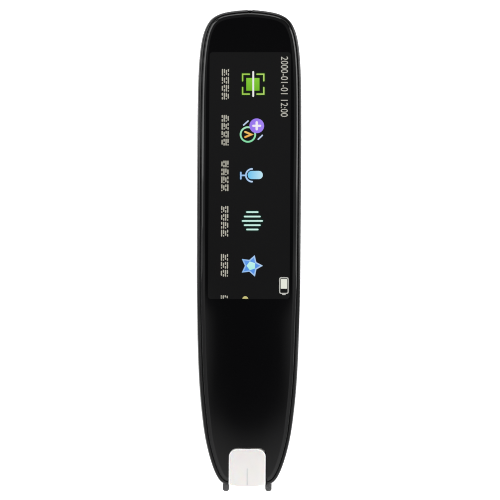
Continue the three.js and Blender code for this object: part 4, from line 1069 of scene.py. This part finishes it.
def lit(name, first, second=None, axis=0, low=0.0, high=1.0, grid=0.16, gloss=0.06):
    """Glowing picture elements under polished glass: two colours blended along an axis (mm), with the fine element grid."""
    m, t, s, v = graph(name)
    split = t.nodes.new("ShaderNodeSeparateXYZ")
    t.links.new(v, split.inputs[0])
    ramped = spread(t, split.outputs[axis], 0, 1, low, high)
    colour = mix_rgb(t, ramped, first, second or first)
    rows, cols = waves(t, v, 1.6, "X"), waves(t, v, 1.6, "Y")
    cell = t.nodes.new("ShaderNodeMath")
    cell.operation = "MULTIPLY"
    t.links.new(rows, cell.inputs[0])
    t.links.new(cols, cell.inputs[1])
    colour = mix_rgb(t, spread(t, cell.outputs[0], grid, 0, 0.0, 0.6), colour, (0, 0, 0))
    s.inputs["Base Color"].default_value = (0.001, 0.001, 0.001, 1)
    t.links.new(spread(t, noise(t, v, 0.08, 3), gloss - 0.02, gloss + 0.02), s.inputs["Roughness"])
    t.links.new(colour, s.inputs["Emission Color"])
    s.inputs["Emission Strength"].default_value = 1.0
    return m


def glass(x, y):
    return warp(x, y, FACE_Z)


def plate(name, shapes, material, low, high, wide=False):
    """Thin closed plates that follow the glass, from low to high above it. Each shape is a list of loops in picture points, the first one its outer edge."""
    verts, faces = [], []
    for loops in shapes:
        world = [[on_front(px, py, FACE_Z) for px, py in loop] for loop in loops]
        flat = [Vector((x, y)) for loop in world for x, y in loop]
        if wide:
            poly = np.array(world[0])
            (xa, ya), (xb, yb) = poly.min(0), poly.max(0)
            for gy in np.arange(math.ceil(ya), yb, 1.5):
                for gx in np.arange(math.ceil(xa), xb, 1.5):
                    if clearance(poly, gx, gy) > 0.6 and inside(poly, gx, gy):
                        flat.append(Vector((gx, gy)))
            points, _, tris, *_ = delaunay_2d_cdt(flat, [], [tuple(range(len(poly)))], 1, 1e-5)
            flat = [Vector(q) for q in points]
        else:
            tris = tessellate_polygon([[Vector((x, y, 0)) for x, y in loop] for loop in world])
        base, n = len(verts), len(flat)
        verts += [(q.x, q.y, glass(q.x, q.y) + high) for q in flat] + [(q.x, q.y, glass(q.x, q.y) + low) for q in flat]
        for tri in tris:
            faces.append(tuple(base + k for k in tri))
            faces.append(tuple(base + n + k for k in reversed(tri)))
        start = base
        for loop in world:
            m = len(loop)
            for i in range(m):
                j = (i + 1) % m
                faces.append((start + i, start + j, start + n + j, start + n + i))
            start += m
    ob = make(name, verts, faces, material, weld=False)
    piece(ob, "housing")
    return ob


def circle(cx, cy, r, steps=48):
    return [(cx + r * math.cos(2 * math.pi * i / steps), cy + r * math.sin(2 * math.pi * i / steps)) for i in range(steps)]


def stroke(points, width, steps=6):
    """Loop round a line of points, with round ends and mitred bends."""
    p = [Vector(q) for q in points]
    left, right = [], []
    for i, q in enumerate(p):
        d0 = (q - p[i - 1]).normalized() if i else (p[1] - p[0]).normalized()
        d1 = (p[i + 1] - q).normalized() if i + 1 < len(p) else d0
        n0, n1 = Vector((-d0.y, d0.x)), Vector((-d1.y, d1.x))
        mid = (n0 + n1).normalized()
        k = width / 2 / max(0.3, mid.dot(n0))
        left.append(q + mid * k)
        right.append(q - mid * k)
    out = []
    for end, side, ahead in ((p[-1], left, (p[-1] - p[-2]).normalized()), (p[0], right, (p[0] - p[1]).normalized())):
        out += side if side is left else list(reversed(side))
        start = Vector((-ahead.y, ahead.x))
        for i in range(1, steps):
            a = math.pi * i / steps
            out.append(end + width / 2 * (start * math.cos(a) + ahead * math.sin(a)))
    return [(q[0], q[1]) for q in out]


def arc(cx, cy, r, a0, a1, steps=20):
    return [(cx + r * math.cos(math.radians(a0 + (a1 - a0) * i / steps)), cy + r * math.sin(math.radians(a0 + (a1 - a0) * i / steps))) for i in range(steps + 1)]


L0, L1, L2, L3 = 0.005, 0.012, 0.019, 0.026
GREY = srgb(196, 194, 184)

# the field leans with the pen, like everything on it
FIELD = (209.6, 207.9, 290.9, 289.6, 52.2, 299.0)


def field_outline():
    x0a, x0b, x1a, x1b, y0, y1 = FIELD
    out = []
    r = 3.2
    for cx, cy, a0 in (((x1a, y0), (-1, 1), 270), ((x1b, y1), (-1, -1), 0), ((x0b, y1), (1, -1), 90), ((x0a, y0), (1, 1), 180)):
        ox, oy = cx[0] + cy[0] * r, cx[1] + cy[1] * r
        out += arc(ox, oy, r, a0, a0 + 90, 8)
    return denser(out, 4.0)


def denser(loop, step):
    out = []
    for (xa, ya), (xb, yb) in zip(loop, loop[1:] + loop[:1]):
        n = max(1, math.ceil(math.hypot(xb - xa, yb - ya) / step))
        out += [(xa + (xb - xa) * k / n, ya + (yb - ya) * k / n) for k in range(n)]
    return out


plate("screen_field", [[field_outline()]], lit("screen_dark", srgb(18.4, 18.4, 19.0), srgb(20.6, 20.6, 21.2), axis=1, low=-20, high=70, grid=0.2, gloss=0.08), -0.01, L0, wide=True)

# scanning frame: four corners round a square, with a bar across
corners, glow = [], []
for sx, sy in ((-1, -1), (1, -1), (1, 1), (-1, 1)):
    cx, cy = 253.2 + sx * 10.6, 84.15 + sy * 9.95
    path = [(cx, cy - sy * 6.6), (cx, cy), (cx - sx * 6.8, cy)]
    corners.append([stroke(path, 1.35)])
    glow.append([stroke(path, 3.4)])
plate("screen_frame_glow", glow, lit("screen_moss", srgb(18, 44, 12)), L0 - 0.006, L0 + 0.003)
plate("screen_frame_corners", corners, lit("screen_lime", srgb(166, 214, 84), srgb(186, 226, 112), axis=0, low=-2, high=6), L0 - 0.006, L1)
plate("screen_frame_square", [[[(246.3, 77.95), (259.45, 77.95), (259.45, 90.65), (246.3, 90.65)]]], lit("screen_green", srgb(112, 186, 34), srgb(140, 212, 62), axis=1, low=56, high=62), L0 - 0.006, L1)
plate("screen_frame_bar", [[stroke([(253.25, 71.9), (253.25, 96.1)], 1.75)]], lit("screen_white", srgb(246, 246, 246)), L0 - 0.006, L2)

# two overlapping discs with arrows of dashes, for swapping one thing for another
plate("screen_ring", [[circle(247.9, 134.5, 8.15), circle(247.9, 134.5, 6.45)]], lit("screen_mint", srgb(132, 226, 168), srgb(176, 240, 200), axis=1, low=38, high=44), L0 - 0.006, L1)
plate("screen_disc", [[circle(256.75, 125.8, 7.35)]], lit("screen_violet", srgb(158, 122, 246), srgb(172, 140, 252), axis=0, low=0, high=6), L0 - 0.006, L2)
plate("screen_disc_mark", [[stroke([(256.75, 122.4), (256.75, 129.2)], 2.5)], [stroke([(253.3, 125.8), (260.2, 125.8)], 2.2)]], lit("screen_pale", srgb(246, 240, 254)), L0 - 0.006, L3)
plate("screen_ring_mark", [[stroke([(245.2, 131.9), (251.3, 134.5), (245.2, 137.1)], 1.9)]], lit("screen_amber", srgb(246, 172, 72), srgb(252, 210, 120), axis=1, low=40, high=43), L0 - 0.006, L1)
plate("screen_dashes", [[stroke([(243.6, 125.1), (248.1, 121.0)], 1.4)], [stroke([(258.2, 139.3), (262.4, 135.3)], 1.4)]], lit("screen_ice", srgb(196, 214, 242)), L0 - 0.006, L1)

# microphone
plate("screen_mic_capsule", [[rounded(247.7, 262.8, 170.9, 179.1, 4.05, 10)]], lit("screen_sky", srgb(120, 206, 250), srgb(206, 242, 252), axis=0, low=-0.2, high=5.2), L0 - 0.006, L1)
yoke = [(252.1, 168.95)] + arc(252.3, 175.3, 6.4, 262, 98, 20) + [(252.1, 181.65)]
mic = [(yoke, 1.55), ([(245.6, 175.4), (241.2, 175.4)], 1.5), ([(240.8, 172.5), (240.8, 178.8)], 1.55)]
plate("screen_mic_glow", [[stroke(path, 3.2)] for path, _ in mic], lit("screen_navy", srgb(10, 30, 44)), L0 - 0.006, L0 + 0.003)
plate("screen_mic_stand", [[stroke(path, w)] for path, w in mic], lit("screen_blue", srgb(160, 200, 246), srgb(206, 228, 252), axis=0, low=-2.5, high=2), L0 - 0.006, L1 + 0.001)

# sound waves
bars = [([(cx0 + 0.8, y), (cx1 - 0.8, y)]) for y, cx0, cx1 in ((212.1, 246.2, 258.5), (216.55, 243.9, 260.7), (220.9, 241.8, 262.9), (225.2, 243.9, 260.7), (229.5, 246.2, 258.5))]
plate("screen_waves_glow", [[stroke(path, 3.6)] for path in bars], lit("screen_pine", srgb(8, 40, 34)), L0 - 0.006, L0 + 0.003)
plate("screen_waves", [[stroke(path, 1.6)] for path in bars], lit("screen_aqua", srgb(206, 250, 236), srgb(216, 252, 242), axis=0, low=-2, high=6), L0 - 0.006, L1)

# star: pale rim, blue facets and a mint core
tips = [(254.7, 255.2), (262.9, 265.7), (254.9, 276.6), (241.8, 272.6), (241.8, 258.9)]
centre = (251.25, 265.8)
star, core = [], []
for i, (tx, ty) in enumerate(tips):
    nx, ny = tips[(i + 1) % 5]
    mx, my = (tx + nx) / 2, (ty + ny) / 2
    k = 0.67
    inner = (centre[0] + (mx - centre[0]) * k, centre[1] + (my - centre[1]) * k)
    star += [(tx, ty), inner]
    core.append((centre[0] + (mx - centre[0]) * 0.5, centre[1] + (my - centre[1]) * 0.5))
plate("screen_star_edge", [[star]], lit("screen_star_pale", srgb(150, 194, 244), srgb(186, 216, 250), axis=0, low=-2, high=5), L0 - 0.006, L1)
small = [(centre[0] + (x - centre[0]) * 0.78, centre[1] + (y - centre[1]) * 0.78) for x, y in star]
plate("screen_star_face", [[small]], lit("screen_star_blue", srgb(82, 144, 234), srgb(104, 164, 244), axis=1, low=-10, high=-2), L0 - 0.006, L2)
plate("screen_star_core", [[core]], lit("screen_star_mint", srgb(170, 246, 234), srgb(200, 252, 246), axis=1, low=-8, high=-4), L0 - 0.006, L3)

# battery gauge
outer = rounded(279.2, 288.7, 277.2, 293.9, 2.0, 4)
hollow = rounded(280.2, 287.7, 278.2, 292.9, 1.2, 4)
plate("screen_gauge_case", [[outer, hollow], [rounded(282.2, 285.7, 293.6, 295.0, 0.6, 3)]], lit("screen_silver", srgb(196, 196, 190)), L0 - 0.006, L1)
plate("screen_gauge_fill", [[rounded(280.75, 287.15, 278.9, 288.7, 0.3, 2)]], lit("screen_cream", srgb(238, 240, 228)), L0 - 0.006, L1 + 0.001)

# the next symbol's top edge, cut off by the field's end
plate("screen_next_symbol", [[arc(245.3, 299.1, 2.9, 187, 353, 14)]], lit("screen_straw", srgb(206, 198, 130)), L0 - 0.006, L1)

# captions as plain placeholder blocks of short lines, no lettering
runs = []
for row, (y0, count, last) in enumerate(((69.0, 4, 1.0), (115.0, 4, 1.0), (160.6, 4, 1.0), (206.0, 4, 1.0), (254.0, 3, 1.0), (295.3, 1, 0.5))):
    for cell in range(count):
        top = y0 + cell * 7.93
        tall = 6.7 * last
        for line in range(4):
            xa = 222.4 + line * 1.98
            turn = (row * 5 + cell * 3 + line * 7) % 4
            for p0, p1 in (((0.0, 1.0),), ((0.0, 0.42), (0.62, 1.0)), ((0.14, 0.86),), ((0.0, 0.62), (0.8, 1.0)))[turn]:
                q0, q1 = top + tall * p0 + 0.5, top + tall * p1 - 0.5
                if q1 - q0 > 0.25:
                    runs.append([stroke([(xa - 0.0052 * (q0 - 86), q0), (xa - 0.0052 * (q1 - 86), q1)], 1.15, 4)])
plate("screen_captions", runs, lit("screen_caption", srgb(190, 187, 174)), L0 - 0.006, L1)


def digits(name, text, x0, x1, y0, y1, material):
    """Plain numerals that read down the picture, from y0 to y1, between x0 (foot) and x1 (head)."""
    curve = bpy.data.curves.new(name, "FONT")
    curve.body = text
    curve.extrude = 0.0
    curve.space_character = 1.02
    text_ob = bpy.data.objects.new(name, curve)
    scene.collection.objects.link(text_ob)
    bpy.context.view_layer.update()
    flat = bpy.data.meshes.new_from_object(text_ob.evaluated_get(bpy.context.evaluated_depsgraph_get()))
    bpy.data.objects.remove(text_ob)
    co = np.array([v.co for v in flat.vertices], float)
    lo, hi = co.min(0), co.max(0)
    bm = bmesh.new()
    bm.from_mesh(flat)
    bmesh.ops.remove_doubles(bm, verts=bm.verts, dist=1e-5)
    for v in bm.verts:
        u, w = (v.co.x - lo[0]) / (hi[0] - lo[0]), (v.co.y - lo[1]) / (hi[1] - lo[1])
        px = x0 + (x1 - x0) * w - 0.0052 * (y0 + (y1 - y0) * u - 86.6)
        x, y = on_front(px, y0 + (y1 - y0) * u, FACE_Z)
        v.co = (x * MM, y * MM, (glass(x, y) + L0 - 0.006) * MM)
    made = bmesh.ops.extrude_face_region(bm, geom=bm.faces[:])
    for v in [g for g in made["geom"] if isinstance(g, bmesh.types.BMVert)]:
        v.co.z += (L1 - L0 + 0.006) * MM
    bmesh.ops.recalc_face_normals(bm, faces=bm.faces)
    bm.to_mesh(flat)
    bm.free()
    flat.name = name
    ob = bpy.data.objects.new(name, flat)
    scene.collection.objects.link(ob)
    flat.materials.clear()
    flat.materials.append(material)
    shade(ob, 30)
    piece(ob, "housing")


digits("screen_clock", "2000-01-01 12:00", 280.9, 287.9, 56.6, 116.8, lit("screen_grey", GREY))

# ------------------------------------------------------------------ aim line on the window
def on_window(name, x0, x1, y0, y1, material):
    """A shallow printed mark that follows the window's face; x and y in picture points."""
    rows = 12
    rings = []
    for i in range(rows + 1):
        py = y0 + (y1 - y0) * i / rows
        xa, y = on_front(x0, py, 9.4)
        xb, _ = on_front(x1, py, 9.4)
        top, under = 0.012, -0.02
        rings.append([(xa, y, warp(xa, y, 11.49) + under), (xb, y, warp(xb, y, 11.49) + under), (xb, y, warp(xb, y, 11.49) + top), (xa, y, warp(xa, y, 11.49) + top)])
    ob = make(name, *stack(rings), material)
    piece(ob, "housing")


on_window("window_aim_line", 246.6, 247.95, 468.4, 485.2, moulded("aim_line_grey", (0.64, 0.63, 0.62), 0.4, grain=20, depth=0.001))

# ------------------------------------------------------------------ studio
def plate_material(name, build):
    m = bpy.data.materials.new(name)
    m.use_nodes = True
    m.node_tree.nodes.clear()
    build(m.node_tree)
    return m


def floor_nodes(t):
    out, shader = t.nodes.new("ShaderNodeOutputMaterial"), t.nodes.new("ShaderNodeBsdfPrincipled")
    shader.inputs["Base Color"].default_value = (0.86, 0.86, 0.86, 1)
    shader.inputs["Roughness"].default_value = 0.7
    shader.inputs["Specular IOR Level"].default_value = 0.2
    shader.inputs["Emission Color"].default_value = (1, 1, 1, 1)
    shader.inputs["Emission Strength"].default_value = 0.75
    t.links.new(shader.outputs[0], out.inputs[0])


floor = make("floor", [(-3000, -3000, -0.02), (3000, -3000, -0.02), (3000, 3000, -0.02), (-3000, 3000, -0.02)], [(0, 1, 2, 3)], plate_material("floor_white", floor_nodes))

world = bpy.data.worlds.new("tent")
scene.world = world
world.use_nodes = True
wt = world.node_tree
wt.nodes.clear()
w_out, w_bg = wt.nodes.new("ShaderNodeOutputWorld"), wt.nodes.new("ShaderNodeBackground")
w_coord, w_split, w_ramp = wt.nodes.new("ShaderNodeTexCoord"), wt.nodes.new("ShaderNodeSeparateXYZ"), wt.nodes.new("ShaderNodeValToRGB")
w_flat, w_length, w_low, w_sum = wt.nodes.new("ShaderNodeVectorMath"), wt.nodes.new("ShaderNodeVectorMath"), wt.nodes.new("ShaderNodeValToRGB"), wt.nodes.new("ShaderNodeVectorMath")
w_span, w_along, w_gain = wt.nodes.new("ShaderNodeMapRange"), wt.nodes.new("ShaderNodeValToRGB"), wt.nodes.new("ShaderNodeVectorMath")


def set_ramp(ramp, stops):
    while len(ramp.elements) < len(stops):
        ramp.elements.new(0.5)
    for e, (pos, v) in zip(ramp.elements, stops):
        e.position, e.color = pos, (v, v, v, 1)


# overhead: a dark ceiling, narrower across the pen than along it, in a grey tent that is paler beyond the nib; round the horizon: a pale wall
w_flat.operation = "MULTIPLY_ADD"
w_flat.inputs[1].default_value = (0.85, 0.5, 0.0)
w_flat.inputs[2].default_value = (-0.85 * math.sin(LEAN), 0.0, 0.0)
w_length.operation = "LENGTH"
wt.links.new(w_coord.outputs["Generated"], w_flat.inputs[0])
wt.links.new(w_flat.outputs[0], w_length.inputs[0])
wt.links.new(w_length.outputs["Value"], w_ramp.inputs[0])
set_ramp(w_ramp.color_ramp, [(0.0, 0.0), (0.055, 0.004), (0.0745, 0.016), (0.0815, 0.04), (0.0885, 0.10), (0.095, 0.17), (0.102, 0.23), (0.1125, 0.30), (0.126, 0.36), (0.171, 0.41), (0.3, 0.47), (0.38, 0.45), (0.5, 0.31), (0.7, 0.21), (1.0, 0.18)])
wt.links.new(w_coord.outputs["Generated"], w_split.inputs[0])
wt.links.new(w_split.outputs["Z"], w_low.inputs[0])
set_ramp(w_low.color_ramp, [(0.0, 0.5), (0.1, 0.26), (0.3, 0.04), (0.45, 0.0)])
w_sum.operation = "ADD"
wt.links.new(w_ramp.outputs[0], w_sum.inputs[0])
wt.links.new(w_low.outputs[0], w_sum.inputs[1])
wt.links.new(w_split.outputs["Y"], w_span.inputs["Value"])
for socket, v in (("From Min", -0.5), ("From Max", 0.5), ("To Min", 0.0), ("To Max", 1.0)):
    w_span.inputs[socket].default_value = v
wt.links.new(w_span.outputs[0], w_along.inputs[0])
set_ramp(w_along.color_ramp, [(0.08, 2.3), (0.22, 1.7), (0.3, 1.42), (0.38, 1.22), (0.47, 1.12), (0.53, 0.72), (0.6, 0.55), (0.85, 0.32)])
w_gain.operation = "SCALE"
wt.links.new(w_sum.outputs[0], w_gain.inputs[0])
wt.links.new(w_along.outputs[0], w_gain.inputs["Scale"])
w_floor, w_all = wt.nodes.new("ShaderNodeValToRGB"), wt.nodes.new("ShaderNodeVectorMath")
w_all.operation = "ADD"
wt.links.new(w_span.outputs[0], w_floor.inputs[0])
set_ramp(w_floor.color_ramp, [(0.0, 0.05), (0.46, 0.05), (0.5, 0.058), (0.555, 0.076), (0.578, 0.056), (1.0, 0.05)])
wt.links.new(w_gain.outputs[0], w_all.inputs[0])
wt.links.new(w_floor.outputs[0], w_all.inputs[1])
wt.links.new(w_all.outputs[0], w_bg.inputs["Color"])
wt.links.new(w_bg.outputs[0], w_out.inputs[0])


def softbox(name, at, aim, size, radiance, tint=(1, 1, 1)):
    light = bpy.data.lights.new(name, "AREA")
    light.shape = "RECTANGLE"
    light.size, light.size_y = size
    light.energy = radiance * math.pi * size[0] * size[1]
    light.color = tint
    ob = bpy.data.objects.new(name, light)
    scene.collection.objects.link(ob)
    ob.location = at
    ob.rotation_euler = (Vector(aim) - Vector(at)).to_track_quat("-Z", "Y").to_euler()
    ob.visible_camera = False
    return ob


def side_box(name, side, y0, y1, low, high, radiance):
    """A softbox beside the pen that covers the angles low to high from overhead."""
    reach, mid = 0.75, math.radians((low + high) / 2)
    y = (y0 + y1) / 2
    softbox(name, (side * reach * math.sin(mid), y, reach * math.cos(mid)), (0, y, 0.0), (y1 - y0, 2 * reach * math.tan(math.radians((high - low) / 2))), radiance)


side_box("softbox_left", -1, 0.045, 0.66, 20, 58, 3.3)
side_box("softbox_left_mid", -1, 0.012, 0.045, 22, 55, 1.6)
side_box("softbox_left_near", -1, -0.042, 0.012, 45, 58, 2.8)
side_box("softbox_right", 1, 0.035, 0.42, 49, 80, 3.9)
side_box("softbox_right_mid", 1, -0.04, 0.035, 50, 77, 1.6)
side_box("softbox_right_low", 1, -0.05, 0.42, 79, 89, 4.5)
side_box("softbox_right_near", 1, -0.10, -0.04, 57, 77, 2.2)
softbox("softbox_end", (0.0, 0.69, 0.30), (0, 0.0, 0.0), (0.6, 0.26), 3.2)
fill_light = softbox("softbox_fill", (0.0, -0.35, 1.2), (0, -0.06, 0.0), (0.6, 0.6), 1.45)
fill_light.visible_glossy = False

scene.cycles.filter_width = 1.05
scene.view_settings.view_transform = "Standard"
